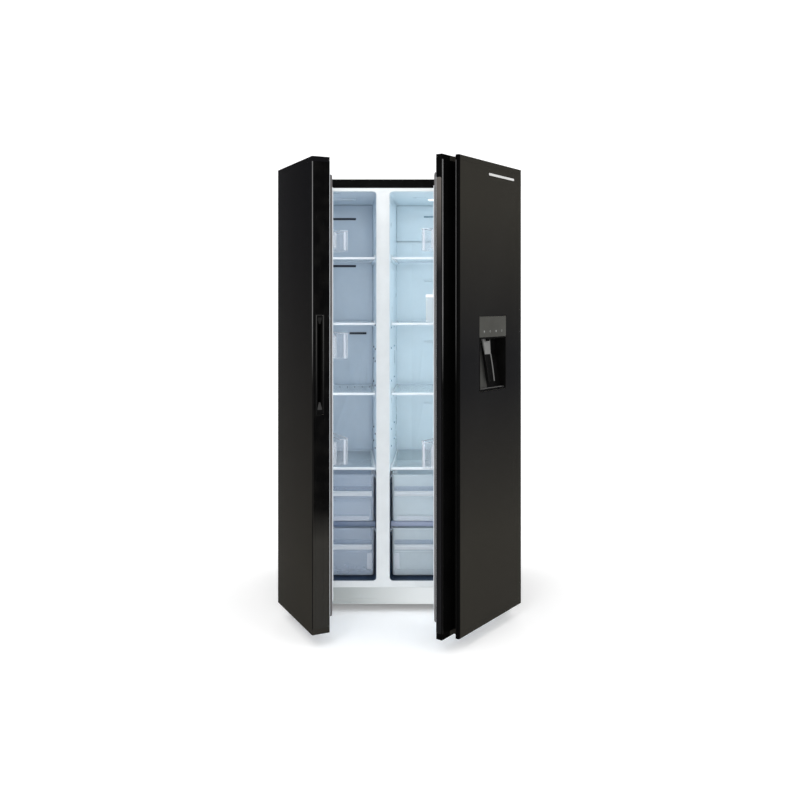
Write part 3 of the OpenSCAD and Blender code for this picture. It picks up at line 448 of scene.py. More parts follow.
def paint_all(obj, material):
    obj.data.materials.clear()
    obj.data.materials.append(material)


def softened(mesh, angle=35.0):
    """Smooth shading with the edges steeper than the angle kept crisp."""
    for poly in mesh.polygons:
        poly.use_smooth = True
    mesh.set_sharp_from_angle(angle=math.radians(angle))


def round_rect(u0, u1, v0, v1, r, n=4):
    """Points round a rectangle with rounded corners; r may be four radii from the far right corner on."""
    radii = r if isinstance(r, tuple) else (r,) * 4
    points = []
    for (cu, cv, su, sv), rr, a0 in zip(
            ((u1, v1, -1, -1), (u0, v1, 1, -1), (u0, v0, 1, 1), (u1, v0, -1, 1)), radii, (0, 90, 180, 270)):
        rr = max(rr, 0.02)
        for i in range(n + 1):
            a = math.radians(a0 + 90 * i / n)
            points.append((cu + su * rr + rr * math.cos(a), cv + sv * rr + rr * math.sin(a)))
    return points


def along(axis, points, w):
    """Flat points lifted to depth w on an axis."""
    if axis == "x":
        return [(w, u, v) for u, v in points]
    if axis == "y":
        return [(u, w, v) for u, v in points]
    return [(u, v, w) for u, v in points]


class Piece:
    """Gathers the parts of one piece, in its body's millimetres, into one mesh."""

    def __init__(self, name, place="cabinet"):
        self.name, self.place = name, PLACE[place]
        self.bm, self.slots, self.slot = bmesh.new(), [], 0

    def use(self, finish):
        if finish not in self.slots:
            self.slots.append(finish)
        self.slot = self.slots.index(finish)
        return self

    def face(self, verts):
        f = self.bm.faces.new(verts)
        f.material_index = self.slot
        return f

    def loft(self, rings, cap=(True, True), loop=False):
        """A skin through rings of as many points each; loop joins the last ring to the first."""
        rows = [[self.bm.verts.new(p) for p in ring] for ring in rings]
        n = len(rows[0])
        for lower, upper in list(zip(rows, rows[1:])) + ([(rows[-1], rows[0])] if loop else []):
            for i in range(n):
                self.face((lower[i], lower[(i + 1) % n], upper[(i + 1) % n], upper[i]))
        if not loop:
            if cap[0]:
                self.face(rows[0][::-1])
            if cap[1]:
                self.face(rows[-1])
        return self

    def plate(self, axis, u0, u1, v0, v1, w0, w1, r=2.0, e=0.8, n=4):
        """A plate on an axis with rounded corners r and softened edges e."""
        steps = ((w0, e), (w0 + 0.3 * e, 0.3 * e), (w0 + e, 0), (w1 - e, 0),
                 (w1 - 0.3 * e, 0.3 * e), (w1, e))
        return self.loft([along(axis, round_rect(u0 + s, u1 - s, v0 + s, v1 - s, max(r - s, 0.1), n), w)
                          for w, s in steps])

    def prism(self, axis, points, w0, w1):
        return self.loft([along(axis, points, w0), along(axis, points, w1)])

    def turned(self, axis, centre, profile, n=24, cap=(True, True), loop=False):
        """A lathe-turned part: profile rows are (radius, place on the axis)."""
        ring = [(math.cos(2 * math.pi * i / n), math.sin(2 * math.pi * i / n)) for i in range(n)]
        return self.loft([along(axis, [(centre[0] + r * c, centre[1] + r * s) for c, s in ring], w)
                          for r, w in profile], cap, loop)

    def tube(self, path, r, n=10):
        """A round tube along a path."""
        pts = [Vector(p) for p in path]
        rings, side = [], None
        for i, p in enumerate(pts):
            t = (pts[min(i + 1, len(pts) - 1)] - pts[max(i - 1, 0)]).normalized()
            if side is None:
                side = t.orthogonal().normalized()
            side = (side - t * side.dot(t)).normalized()
            up = t.cross(side)
            turns = [2 * math.pi * k / n for k in range(n)]
            rings.append([tuple(p + r * (math.cos(a) * side + math.sin(a) * up)) for a in turns])
        return self.loft(rings)

    def done(self, body, *nodes, angle=35.0):
        """Makes the object, sets its finishes, and lets it ride and stand for its nodes."""
        bmesh.ops.remove_doubles(self.bm, verts=self.bm.verts, dist=1e-4)
        bmesh.ops.recalc_face_normals(self.bm, faces=self.bm.faces)
        self.bm.transform(self.place)
        mesh = bpy.data.meshes.new(self.name)
        self.bm.to_mesh(mesh)
        self.bm.free()
        softened(mesh, angle)
        for finish in self.slots:
            mesh.materials.append(finishes()[finish])
        obj = link(self.name, mesh)
        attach(obj, body)
        if nodes:
            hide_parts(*nodes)
        return obj


def bent(path, r=12.0, n=6):
    """A path whose corners are rounded."""
    pts = [Vector(p) for p in path]
    out = [pts[0]]
    for a, b, c in zip(pts, pts[1:], pts[2:]):
        r_a, r_c = min(r, (a - b).length / 2), min(r, (c - b).length / 2)
        p, q = b + (a - b).normalized() * r_a, b + (c - b).normalized() * r_c
        out += [p.lerp(b, t).lerp(b.lerp(q, t), t) for t in [i / n for i in range(n + 1)]]
    return out + [pts[-1]]


def dressed(node, body, finish, edge=0.8, angle=32.0):
    """A merged copy of a CAD node with softened edges, standing for the node."""
    source = frame["nodes"][node]
    bm = bmesh.new()
    bm.from_mesh(source.data)
    bmesh.ops.remove_doubles(bm, verts=bm.verts, dist=1e-6)
    bmesh.ops.dissolve_limit(bm, angle_limit=math.radians(0.5), verts=bm.verts, edges=bm.edges)
    mesh = bpy.data.meshes.new(node + "_dressed")
    bm.to_mesh(mesh)
    bm.free()
    obj = link(node + "_dressed", mesh)
    if edge > 0:
        mod = obj.modifiers.new("edges", "BEVEL")
        mod.width, mod.segments, mod.limit_method = edge / 1000, 2, "ANGLE"
        mod.angle_limit, mod.use_clamp_overlap = math.radians(angle), True
        baked(obj)
    softened(obj.data, angle)
    paint_all(obj, finishes()[finish])
    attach(obj, body)
    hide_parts(node)
    return obj


def baked(obj):
    """Turns an object's modifiers into its plain mesh."""
    deps = bpy.context.evaluated_depsgraph_get()
    mesh = bpy.data.meshes.new_from_object(obj.evaluated_get(deps), depsgraph=deps)
    obj.modifiers.clear()
    obj.data = mesh
    return obj


# ---------------------------------------------------------------- growing kit
class Grow:
    """One geometry tree with named inputs."""

    def __init__(self, name, inputs):
        self.tree = bpy.data.node_groups.new(name, "GeometryNodeTree")
        self.tree.interface.new_socket("Geometry", in_out="INPUT", socket_type="NodeSocketGeometry")
        self.ids = {}
        for key, kind, value in inputs:
            item = self.tree.interface.new_socket(key, in_out="INPUT", socket_type="NodeSocket" + kind)
            if value is not None:
                item.default_value = value
            self.ids[key] = item.identifier
        self.tree.interface.new_socket("Geometry", in_out="OUTPUT", socket_type="NodeSocketGeometry")
        self.entry = self.tree.nodes.new("NodeGroupInput")

    def __getitem__(self, key):
        return self.entry.outputs[key]

    def node(self, kind, settings=None, values=(), out=0):
        n = self.tree.nodes.new(kind)
        for key, value in (settings or {}).items():
            setattr(n, key, value)
        pairs = values.items() if isinstance(values, dict) else enumerate(values)
        for key, value in pairs:
            if isinstance(value, bpy.types.NodeSocket):
                self.tree.links.new(value, n.inputs[key])
            elif isinstance(value, (list, tuple)) and value and isinstance(value[0], bpy.types.NodeSocket):
                for one in reversed(value):
                    self.tree.links.new(one, n.inputs[key])
            else:
                n.inputs[key].default_value = value
        return n.outputs[out]

    def end(self, geometry):
        real = self.node("GeometryNodeRealizeInstances", {}, {"Geometry": geometry})
        exit_node = self.tree.nodes.new("NodeGroupOutput")
        self.tree.links.new(real, exit_node.inputs[0])
        return self

    def make(self, name, place, body, points=None, nodes=(), **values):
        """Grows a piece, bakes it to a plain mesh and puts it in its place."""
        mesh = bpy.data.meshes.new(name)
        if points:
            mesh.from_pydata(points, [], [])
        obj = link(name, mesh)
        mod = obj.modifiers.new("grow", "NODES")
        mod.node_group = self.tree
        for key, value in values.items():
            mod[self.ids[key.replace("_", " ")]] = value
        baked(obj)
        obj.data.transform(PLACE[place])
        softened(obj.data)
        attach(obj, body)
        if nodes:
            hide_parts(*nodes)
        return obj


TREES = {}


def bars_tree():
    """A row of straight bars with rounded edges, all in millimetres."""
    if "bars" in TREES:
        return TREES["bars"]
    g = Grow("row_of_bars", [
        ("Count", "Int", 5), ("Start", "Vector", None), ("Step", "Vector", None), ("Length", "Float", 50.0),
        ("Width", "Float", 4.0), ("Height", "Float", 2.0), ("Corner", "Float", 0.6),
        ("Turn", "Vector", None), ("Finish", "Material", None)])
    half = g.node("ShaderNodeMath", {"operation": "MULTIPLY"}, [g["Length"], 0.5])
    back = g.node("ShaderNodeMath", {"operation": "MULTIPLY"}, [g["Length"], -0.5])
    spine = g.node("GeometryNodeCurvePrimitiveLine", {}, {
        "Start": g.node("ShaderNodeCombineXYZ", {}, [back]),
        "End": g.node("ShaderNodeCombineXYZ", {}, [half])})
    outline = g.node("GeometryNodeFilletCurve", {"mode": "POLY"}, {
        "Curve": g.node("GeometryNodeCurvePrimitiveQuadrilateral", {},
                        {"Width": g["Width"], "Height": g["Height"]}),
        "Count": 3, "Radius": g["Corner"]})
    bar = g.node("GeometryNodeCurveToMesh", {},
                 {"Curve": spine, "Profile Curve": outline, "Fill Caps": True})
    row = g.node("GeometryNodeMeshLine", {"mode": "OFFSET"},
                 {"Count": g["Count"], "Start Location": g["Start"], "Offset": g["Step"]})
    placed = g.node("GeometryNodeInstanceOnPoints", {}, {
        "Points": row, "Instance": bar, "Rotation": g.node("FunctionNodeEulerToRotation", {}, [g["Turn"]])})
    real = g.node("GeometryNodeRealizeInstances", {}, {"Geometry": placed})
    TREES["bars"] = g.end(g.node("GeometryNodeSetMaterial", {}, {"Geometry": real, "Material": g["Finish"]}))
    return TREES["bars"]


def screws_tree():
    """Domed screw heads with a cross recess on every point given."""
    if "screws" in TREES:
        return TREES["screws"]
    g = Grow("screw_heads", [
        ("Head radius", "Float", 4.0), ("Head height", "Float", 1.6), ("Turn", "Vector", None),
        ("Finish", "Material", None), ("Recess", "Material", None)])
    top = g.node("ShaderNodeMath", {"operation": "MULTIPLY"}, [g["Head radius"], 0.62])
    rim = g.node("ShaderNodeMath", {"operation": "MULTIPLY"}, [g["Head height"], 0.4])
    flange = g.node("GeometryNodeMeshCylinder", {}, {
        "Vertices": 16, "Radius": g["Head radius"], "Depth": rim})
    dome = g.node("GeometryNodeMeshCone", {}, {
        "Vertices": 16, "Radius Top": top, "Radius Bottom": g["Head radius"], "Depth": g["Head height"]})
    head = g.node("GeometryNodeSetMaterial", {}, {
        "Geometry": g.node("GeometryNodeJoinGeometry", {}, {"Geometry": [flange, dome]}),
        "Material": g["Finish"]})
    wide = g.node("ShaderNodeMath", {"operation": "MULTIPLY"}, [g["Head radius"], 0.95])
    slim = g.node("ShaderNodeMath", {"operation": "MULTIPLY"}, [g["Head radius"], 0.2])
    deep = g.node("ShaderNodeMath", {"operation": "MULTIPLY"}, [g["Head height"], 0.3])
    bar_a = g.node("GeometryNodeMeshCube", {}, {
        "Size": g.node("ShaderNodeCombineXYZ", {}, [wide, slim, deep])})
    bar_b = g.node("GeometryNodeMeshCube", {}, {
        "Size": g.node("ShaderNodeCombineXYZ", {}, [slim, wide, deep])})
    cross = g.node("GeometryNodeTransform", {}, {
        "Geometry": g.node("GeometryNodeJoinGeometry", {}, {"Geometry": [bar_a, bar_b]}),
        "Translation": g.node("ShaderNodeCombineXYZ", {}, [0.0, 0.0, g["Head height"]])})
    dark = g.node("GeometryNodeSetMaterial", {}, {"Geometry": cross, "Material": g["Recess"]})
    whole = g.node("GeometryNodeJoinGeometry", {}, {"Geometry": [head, dark]})
    placed = g.node("GeometryNodeInstanceOnPoints", {}, {
        "Points": g["Geometry"], "Instance": whole,
        "Rotation": g.node("FunctionNodeEulerToRotation", {}, [g["Turn"]])})
    TREES["screws"] = g.end(placed)
    return TREES["screws"]


def screws(name, place, body, points, turn=(0.0, 0.0, 0.0), radius=4.0, height=1.6, finish="plated",
           recess="moulding"):
    table = finishes()
    return screws_tree().make(name, place, body, points, Head_radius=radius, Head_height=height,
                              Turn=turn, Finish=table[finish], Recess=table[recess])


def bars(name, place, body, count, start, step, length, width, height, corner=0.6, turn=(0.0, 0.0, 0.0),
         finish="plated", nodes=()):
    return bars_tree().make(name, place, body, None, nodes, Count=count, Start=start, Step=step,
                            Length=float(length), Width=float(width), Height=float(height), Corner=corner,
                            Turn=turn, Finish=finishes()[finish])


# ---------------------------------------------------------------- sizes
class DoorSettings(bpy.types.PropertyGroup):
    edge: bpy.props.FloatProperty(
        name="Edge", description="Softening of the doors' sheet edges", default=0.0012, min=0.0003,
        max=0.002, subtype="DISTANCE", unit="LENGTH")
    badge_width: bpy.props.FloatProperty(
        name="Badge width", description="Width of the blank badge bar", default=0.195, min=0.05, max=0.3,
        subtype="DISTANCE", unit="LENGTH")
    screw_radius: bpy.props.FloatProperty(
        name="Screw head", description="Radius of the hinges' screw heads", default=0.0045, min=0.002,
        max=0.006, subtype="DISTANCE", unit="LENGTH")


class TrayStyle(bpy.types.PropertyGroup):
    corner: bpy.props.FloatProperty(
        name="Drawer corner", description="Corner radius of the drawers", default=0.016, min=0.006, max=0.03,
        subtype="DISTANCE", unit="LENGTH")
    ribs: bpy.props.IntProperty(name="Bin ribs", description="Upright ribs on a door bin's front", default=7,
                                min=2, max=14)


# ---------------------------------------------------------------- compartments
def walled(c, y0, y1, g, r, z, n=4):
    """A rounded outline between a compartment's drafted side walls."""
    x0, x1 = wall_a(c, y0) + g, wall_b(c, y0) - g
    out = []
    for x, y in round_rect(x0, x1, y0, y1, r, n):
        t = (x - x0) / (x1 - x0)
        out.append(((1 - t) * (wall_a(c, y) + g) + t * (wall_b(c, y) - g), y, z))
    return out


def drawer(name, c, shares):
    """A clear drawer: drafted tub, side runners, raised front border, frosted foot and pull lip."""
    z0, z1, lip = (zf(s) for s in shares)
    k = bpy.context.scene.fridge_tray.corner * 1000
    p = Piece(name + "_tub").use("drawer" if name.startswith("freezer") else "fresh_drawer")
    p.loft([walled(c, *row) for row in (
        (55, 368, 14, k - 6, z0), (49, 374, 9.5, k - 2, z0 + 1.6), (46.4, 377, 8, k, z0 + 7),
        (45, 379, 5.6, k, z1 - 9), (45, 379, 5.6, k, z1 - 6.4), (45, 379, 2.2, k, z1 - 5.2),
        (45, 379, 1.9, k, z1 - 1.2), (45.6, 378.4, 2.6, k, z1 - 0.2), (46.6, 377.4, 3.6, k, z1),
        (47.6, 376.4, 7.4, k, z1 - 0.6), (48, 376, 8.2, k - 2, z1 - 3), (49, 374.4, 10.6, k - 2, z0 + 10),
        (52, 371, 13, k - 5, z0 + 4), (58, 365, 19, k - 8, z0 + 2.6))])
    xa, xb = wall_a(c, 45) + 17, wall_b(c, 45) - 17
    for x0, x1, v0, v1 in ((xa - 4, xb + 4, lip - 28, lip - 24), (xa - 4, xb + 4, z0 + 22, z0 + 25),
                           (xa - 4, xa - 1, z0 + 25, lip - 28), (xb + 1, xb + 4, z0 + 25, lip - 28)):
        p.plate("y", x0, x1, v0, v1, 43.6, 46.5, 1.2, 0.5, 2)
    p.done(name, name)
    grip = Piece(name + "_pull").use("trim_clear")
    steps = [(46.2, lip - 17), (43.6, lip - 15), (38, lip - 7), (34.6, lip - 1.5), (34.1, lip + 1),
             (34.4, lip + 3.2), (35.6, lip + 4), (46.2, lip + 4), (46.2, lip + 1.4), (37.6, lip + 1.4),
             (37.2, lip - 0.4), (40.5, lip - 6), (46.2, lip - 13)]
    grip.loft([[(x, y, z) for y, z in steps] for x in (xa, xa + 1, xb - 1, xb)])
    grip.done(name)
    foot = Piece(name + "_frost").use("edge_white")
    if name.endswith("upper"):
        foot.plate("y", xa + 12, xb - 12, z0 + 3, z0 + 21, 44.4, 47.4, 4, 0.4)
    else:
        for x in (xa, xb - 20):
            foot.plate("y", x, x + 20, z0 + 28, lip - 31, 44.0, 46.4, 3, 0.4)
    foot.done(name)
    # a darker plate above the drawer's pull: painted shade
    hollow = Piece(name + "_pull_hollow").use("hollow")
    hollow.plate("y", xa, xb, lip + 5, lip + 24, 44.6, 46.2, 5, 0.4)
    hollow.done(name)
    for side, x in (("left", wall_a(c, 60) + 3.8), ("right", wall_b(c, 60) - 3.8)):
        wheel = Piece(f"{name}_runner_{side}").use("navy")
        wheel.turned("x", (56, z1 - 16), [(0.5, x - 1.6), (5.2, x - 1.6), (6, x - 0.8), (6, x + 0.8),
                                          (5.2, x + 1.6), (0.5, x + 1.6)])
        wheel.turned("x", (66, z1 - 40), [(0.5, x - 1.2), (2.6, x - 1.2), (3, x),
                                          (2.6, x + 1.2), (0.5, x + 1.2)])
        wheel.done(name)


class FRIDGE_OT_drawers(bpy.types.Operator):
    """Builds the four clear drawers"""
    bl_idname = "fridge.drawers"
    bl_label = "Drawers"

    def execute(self, context):
        for side, c in (("freezer", FZ), ("fridge", FR)):
            for level, shares in zip(("upper", "lower"), DRAWER_F):
                drawer(f"{side}_drawer_{level}", c, shares)
        return {"FINISHED"}


class FRIDGE_OT_bins(bpy.types.Operator):
    """Builds the clear door bins with rounded front corners, rolled rims and upright ribs"""
    bl_idname = "fridge.bins"
    bl_label = "Door bins"

    def execute(self, context):
        ribs = context.scene.fridge_tray.ribs
        for name, (side, (ra, rb), f0, f1, out) in BINS.items():
            x0, x1, z0, z1 = ra + 17, rb - 17, zf(f0), zf(f1)
            y0, y1, k = -11.4, -12 + out, min(22.0, out - 20)
            deep = out > 50
            p = Piece(name + "_tub", side).use("bin")

            def ring(g, z):
                front = max(k - g, 2.0)
                return along("z", round_rect(x0 + g, x1 - g, y0 + g, y1 - g, (front, front, 2.5, 2.5), 5), z)
            p.loft([ring(4, z0), ring(1.6, z0 + 0.7), ring(0.8, z0 + 3), ring(0.5, z1 - 8),
                    ring(0.4, z1 - 5.4), ring(0, z1 - 4.6), ring(0, z1 - 1), ring(0.5, z1 - 0.2),
                    ring(1.2, z1), ring(2.4, z1 - 0.2), ring(3.1, z1 - 1), ring(3.1, z1 - 6),
                    ring(3.3, z0 + 6), ring(4.6, z0 + 3.2), ring(8, z0 + 2.5)])
            p.done(name, name)
            gap = (x1 - x0 - 2 * k - 16) / (ribs - 1)
            bars(name + "_ribs", side, name, ribs, (x0 + k + 8, y1 - 3.4, (z0 + z1) / 2 - 1), (gap, 0, 0),
                 z1 - z0 - 18, 1.6, 1.6, 0.6, (0, QUARTER_TURN, 0), "rib")
            ends = Piece(name + "_end_strips", side).use("edge_white")
            for xa, xb in ((x0 + 0.45, x0 + 3.0), (x1 - 3.0, x1 - 0.45)):
                ends.plate("x", y1 - k + 1 - (4 if deep else 0), y1 - k + 5, z0 + 5,
                           z1 - 6, xa, xb, 1.5, 0.3)
                if deep:
                    ends.use("frost").plate("x", 12, 34, z0 + 8, z1 - 10, xa, xb, 3, 0.3)
                    ends.use("edge_white")
            for xa, xb in ((x0 + k, x0 + k + 3), (x1 - k - 3, x1 - k)):
                ends.plate("y", xa, xb, z0 + 5, z1 - 6, y1 - 3.1, y1 - 0.45, 1, 0.3)
            ends.done(name)
            rim = Piece(name + "_rim", side).use("rim")
            band = [along("z", round_rect(x0 + g, x1 - g, y1 - 40 if deep else y1 - 18, y1 - g,
                                          (max(k - g, 2), max(k - g, 2), 2, 2), 5), z)
                    for g, z in ((0.35, z1 - 4.2), (0.35, z1 - 1.4), (1.1, z1 - 0.5), (2.6, z1 - 0.5),
                                 (2.9, z1 - 1.4), (2.9, z1 - 4.2))]
            rim.loft(band, loop=True)
            rim.done(name)
        return {"FINISHED"}


def shelf(p, c, y0, y1, z):
    """One shelf: nosed front trim with a drip edge, side rails and a back rail."""
    nose = [(y0 + 15, z + 4.9), (y0 + 6, z + 5), (y0 + 2, z + 4.6), (y0 + 0.4, z + 3), (y0, z),
            (y0 + 0.4, z - 3), (y0 + 2, z - 4.8), (y0 + 5, z - 5), (y0 + 6.2, z - 4.2), (y0 + 6.8, z - 1.2),
            (y0 + 14, z - 1), (y0 + 15, z + 0.1)]
    p.loft([[(x, y, w) for y, w in nose] for x in (wall_a(c, y0) + 1.6, wall_a(c, y0) + 2.4,
                                                  wall_b(c, y0) - 2.4, wall_b(c, y0) - 1.6)])
    for wall, s in ((wall_a, 1), (wall_b, -1)):
        rings = []
        for y in (y0 + 8, y0 + 9, y1 - 1, y1 - 0.2):
            x = wall(c, y)
            g = 0.8 if y in (y0 + 8, y1 - 0.2) else 0.0
            rings.append([(x + s * u, y, w) for u, w in (
                (1.6 + g, z - 4.4 + g), (2.4, z - 5 + g), (11.6, z - 5 + g), (12.6, z - 4), (12.8, z - 0.4),
                (9, z - 0.2), (8.2, z + 0.4), (8, z + 4 - g), (7.2, z + 5 - g), (2.4, z + 5 - g),
                (1.6 + g, z + 4.2 - g))])
        p.loft(rings)
        x = wall(c, y0 + 24)
        p.plate("x", y0 + 16, y0 + 40, z - 4.6, z + 14, *sorted((x + s * 1.4, x + s * 4.4)), 5, 0.6)
    p.use("rail")
    p.plate("z", wall_a(c, y1) + 6, wall_b(c, y1) - 6, y1 - 13, y1 - 0.4, z - 1, z + 5, 2, 1)
    p.use("trim")


class FRIDGE_OT_shelves(bpy.types.Operator):
    """Builds the shelf frames, their glass and the bar between the drawers"""
    bl_idname = "fridge.shelves"
    bl_label = "Shelves"

    def execute(self, context):
        for side, c, back in (("freezer", FZ, 476.0), ("fridge", FR, 504.0)):
            # a dark navy sheet over the drawer bay's floor and lower walls: painted shade
            bay_shade = Piece(side + "_drawer_bay_lining").use("navy_edge")
            rows = []
            for y in (4.0, 5.0, 379.0, 380.0):
                paths = []
                for g in (0.15, 0.95):
                    xa, xb, r = wall_a(c, y) + g, wall_b(c, y) - g, 15 - g
                    angles = [math.radians(a) for a in range(0, 91, 15)]
                    left = [(xa + r - r * math.cos(a), 120 + g + r - r * math.sin(a)) for a in angles]
                    right = [(xb - r + r * math.sin(a), 120 + g + r - r * math.cos(a)) for a in angles]
                    paths.append([(xa, 556)] + left + right + [(xb, 556)])
                rows.append([(x, y, z) for x, z in paths[0] + paths[1][::-1]])
            bay_shade.loft(rows)
            bay_shade.done("cabinet")
            p = Piece(side + "_shelf_trims").use("trim")
            q = Piece(side + "_shelf_panes").use("glass")
            for y0, share in [(SHELF_Y, f) for f in SHELF_F] + [(LOW_SHELF_Y, LOW_SHELF_F)]:
                z = zf(share)
                shelf(p, c, y0, back, z)
                q.loft([walled(c, y0 + 9 + e, back - 9 - e, 9 + e, 3, z + w) for w, e in (
                    (0.3, 0.5), (0.8, 0), (3.2, 0), (3.7, 0.5))])
            z0, z1 = zf(DRAWER_F[1][1]) + 2, zf(DRAWER_F[0][0]) - 4
            bar = Piece(side + "_drawer_bar").use(side + "_bar")
            bar.loft([walled(c, 62.2 + e, 71.8 - e, 1.6 + e, 1.5, w) for w, e in (
                (z0, 1.2), (z0 + 0.4, 0.4), (z0 + 1.2, 0), (z1 - 1.2, 0), (z1 - 0.4, 0.4), (z1, 1.2))])
            bar.done("cabinet")
            p.done("cabinet", side + "_shelves")
            q.done("cabinet", side + "_glass")
        return {"FINISHED"}


class FRIDGE_OT_ducts(bpy.types.Operator):
    """Builds the air covers' slot grilles, the lamps and the shelf stops"""
    bl_idname = "fridge.ducts"
    bl_label = "Air covers and lamps"

    def execute(self, context):
        dressed("freezer_duct_cover", "cabinet", "duct", 0.8)
        dressed("fridge_duct_cover", "cabinet", "fridge_duct", 0.8)
        fb = FZ[1]
        for i, (x0, x1, share) in enumerate(((fb - 212, fb - 104, 0.9586), (fb - 212, fb - 104, 0.8213),
                                             (fb - 135, fb - 56, 0.6253))):
            z = zf(share)
            p = Piece(f"freezer_slot_{i + 1}").use("navy")
            p.plate("y", x0 + 0.6, x1 - 0.6, z - 5, z + 5, 482.2, 483.4, 1, 0.3)
            p.done("cabinet")
            bars(f"freezer_slot_vanes_{i + 1}", "cabinet", "cabinet", int((x1 - x0) / 9), (x0 + 6, 481.7, z),
                 (9.0, 0, 0), 9.6, 1.2, 0.9, 0.3, (0, QUARTER_TURN, 0), "navy_edge")
        f0, f1 = FR[0] + 154, FR[1] - 154
        for i, (share, y) in enumerate(((0.967, 511.4), (0.78, 521.4), (0.6, 521.4), (0.42, 521.4))):
            z = zf(share)
            p = Piece(f"fridge_slot_{i + 1}")
            p.use("slot_blue" if i == 0 else "fridge_duct")
            p.plate("y", f0 + 0.6, f1 - 0.6, z - 3.6, z + 3.6, y, y + 1, 1, 0.3)
            p.done("cabinet")
        panel = Piece("fridge_rear_panels").use("fridge_duct")
        for x0, x1 in ((wall_a(FR, 518) + 0.2, FR[0] + 100.4), (FR[1] - 100.4, wall_b(FR, 518) - 0.2)):
            panel.plate("y", x0, x1, 495.4, 1527, 518.1, 519.3, 4, 0.3)
        panel.done("cabinet")
        low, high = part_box("freezer_duct_cover")
        seal = Piece("freezer_duct_seals").use("duct")
        for x0, x1 in ((wall_a(FZ, 483) + 0.2, low[0] * 1000 + 3),
                       (high[0] * 1000 - 3, wall_b(FZ, 483) - 0.2)):
            seal.plate("y", x0, x1, low[2] * 1000 + 2, high[2] * 1000 - 2, 482.4, 483.6, 1, 0.2)
        seal.done("cabinet")
        strip = Piece("freezer_vent_strip").use("rail")
        strip.plate("y", fb - 250, fb - 22, 850, 866, 479.1, 479.9, 2, 0.3)
        strip.done("cabinet")
        screws("freezer_vent_holes", "cabinet", "cabinet",
               [(fb - 42 - 34 * i, 479.3, 857) for i in range(6)],
               (QUARTER_TURN, 0, 0), 3.4, 0.5, "navy_edge", "navy_edge")
        for name, c in (("freezer", FZ), ("fridge", FR)):
            xm = (c[0] + c[1]) / 2
            p = Piece(name + "_lamp").use("lamp" if name == "fridge" else "freezer_liner")
            p.loft([along("z", round_rect(xm - 60 + e, xm + 60 - e, 227 + e, 273 - e, 8, 5), z) for z, e in (
                (1691.4, 0), (1687, 0.4), (1685, 2), (1684.3, 5), (1684.1, 9))])
            p.done("cabinet", *(["ceiling_lamps"] if name == "freezer" else []))
            rim = Piece(name + "_lamp_rim").use(name + "_liner")
            rim.loft([along("z", round_rect(xm - 60 + e, xm + 60 - e, 227 + e, 273 - e, 8 - e, 5), z)
                      for z, e in (
                (1691.6, -2), (1689.6, -2), (1689, -1.4), (1689, 0.8), (1689.6, 1), (1691.6, 1))], loop=True)
            rim.done("cabinet")
        spots = {"freezer": (FZ, wall_b, -1, "navy", (1150, 1050, 1000, 900, 700, 640)),
                 "fridge": (FR, wall_a, 1, "slot_blue", (1140, 1055, 920, 720, 650))}
        for side, (c, wall, s, finish, heights) in spots.items():
            points = [(wall(c, y) + s * 0.3, y, z) for z in heights for y in (96.0, 300.0)]
            screws(side + "_shelf_stops", "cabinet", "cabinet", points, (0, s * QUARTER_TURN, 0), 4.2, 3.0,
                   finish, finish)
        return {"FINISHED"}


class FRIDGE_OT_cabinet(bpy.types.Operator):
    """Softens the cabinet's sheet parts and adds the rear screws, louvre hoods, hinge screws and rear beads
    """
    bl_idname = "fridge.cabinet"
    bl_label = "Cabinet"

    def execute(self, context):
        for node, finish, edge in (
                ("outer_shell", "shell", 0.3), ("back_panel", "rear", 0.4),
                ("freezer_liner", "freezer_liner", 0.4), ("fridge_liner", "fridge_liner", 0.4),
                ("front_frame", "white", 0.6), ("top_rail", "black", 0.5), ("base_pan", "pan", 0.3),
                ("kick_plate", "kick", 0.6), ("machine_cover", "dark_steel", 0.4),
                ("drain_tray", "moulding", 0.4), ("top_hinges", "plated", 0.6),
                ("bottom_hinges", "plated", 0.6), ("hinge_covers", "moulding", 0.8),
                ("roller_brackets", "plated", 0.4)):
            dressed(node, "cabinet", finish, edge)
        back = [(x, 599.6, z) for x in (-446, 446) for z in range(330, 1741, 175)]
        back += [(x, 599.6, 1733) for x in range(-330, 331, 110)]
        back += [(x, 599.6, z) for z in (40, 291) for x in range(-400, 401, 160)]
        screws("rear_screws", "cabinet", "cabinet", back, (-QUARTER_TURN, 0, 0), 4.2, 1.5)
        for row in range(8):
            bars(f"louvre_hoods_{row + 1}", "cabinet", "cabinet", 6, (-319.0, 600.4, 97.0 + row * 24),
                 (118.0, 0, 0), 82, 2.4, 3.0, 1.0, (math.radians(25), 0, 0), "dark_steel")
        r = context.scene.fridge_doors.screw_radius * 1000
        hinge = [(s * x, 70.0 if i else 50.0, 1774.0) for s in (-1, 1) for i, x in enumerate((428.0, 444.0))]
        screws("top_hinge_screws", "cabinet", "cabinet", hinge, (0, 0, 0), r, 2.0)
        low = [(s * x, 0.2, 66.0 + 18 * (i % 2)) for s in (-1, 1) for i, x in enumerate((428.0, 444.0))]
        screws("bottom_hinge_screws", "cabinet", "cabinet", low, (QUARTER_TURN, 0, 0), 3.2, 1.4)
        pins = Piece("hinge_pin_heads").use("plated")
        for s in (-1, 1):
            pins.turned("z", (s * PIN_X, PIN_Y), [(1, 1775.6), (3.4, 1775.6), (4.6, 1775.0),
                                                  (5, 1774.2), (5, 1773.4)])
        pins.done("cabinet")
        ribs = Piece("rear_panel_beads").use("rear")
        for x in (-300.0, -150.0, 0.0, 150.0, 300.0):
            ribs.loft([along("y", round_rect(x - 9 + e, x + 9 - e, 380 + e, 1680 - e, 9 - min(e, 8), 5), y)
                       for y, e in ((599.7, 0), (600.6, 0.6), (601.6, 2.6), (602.2, 5.6))])
        ribs.done("cabinet")
        return {"FINISHED"}


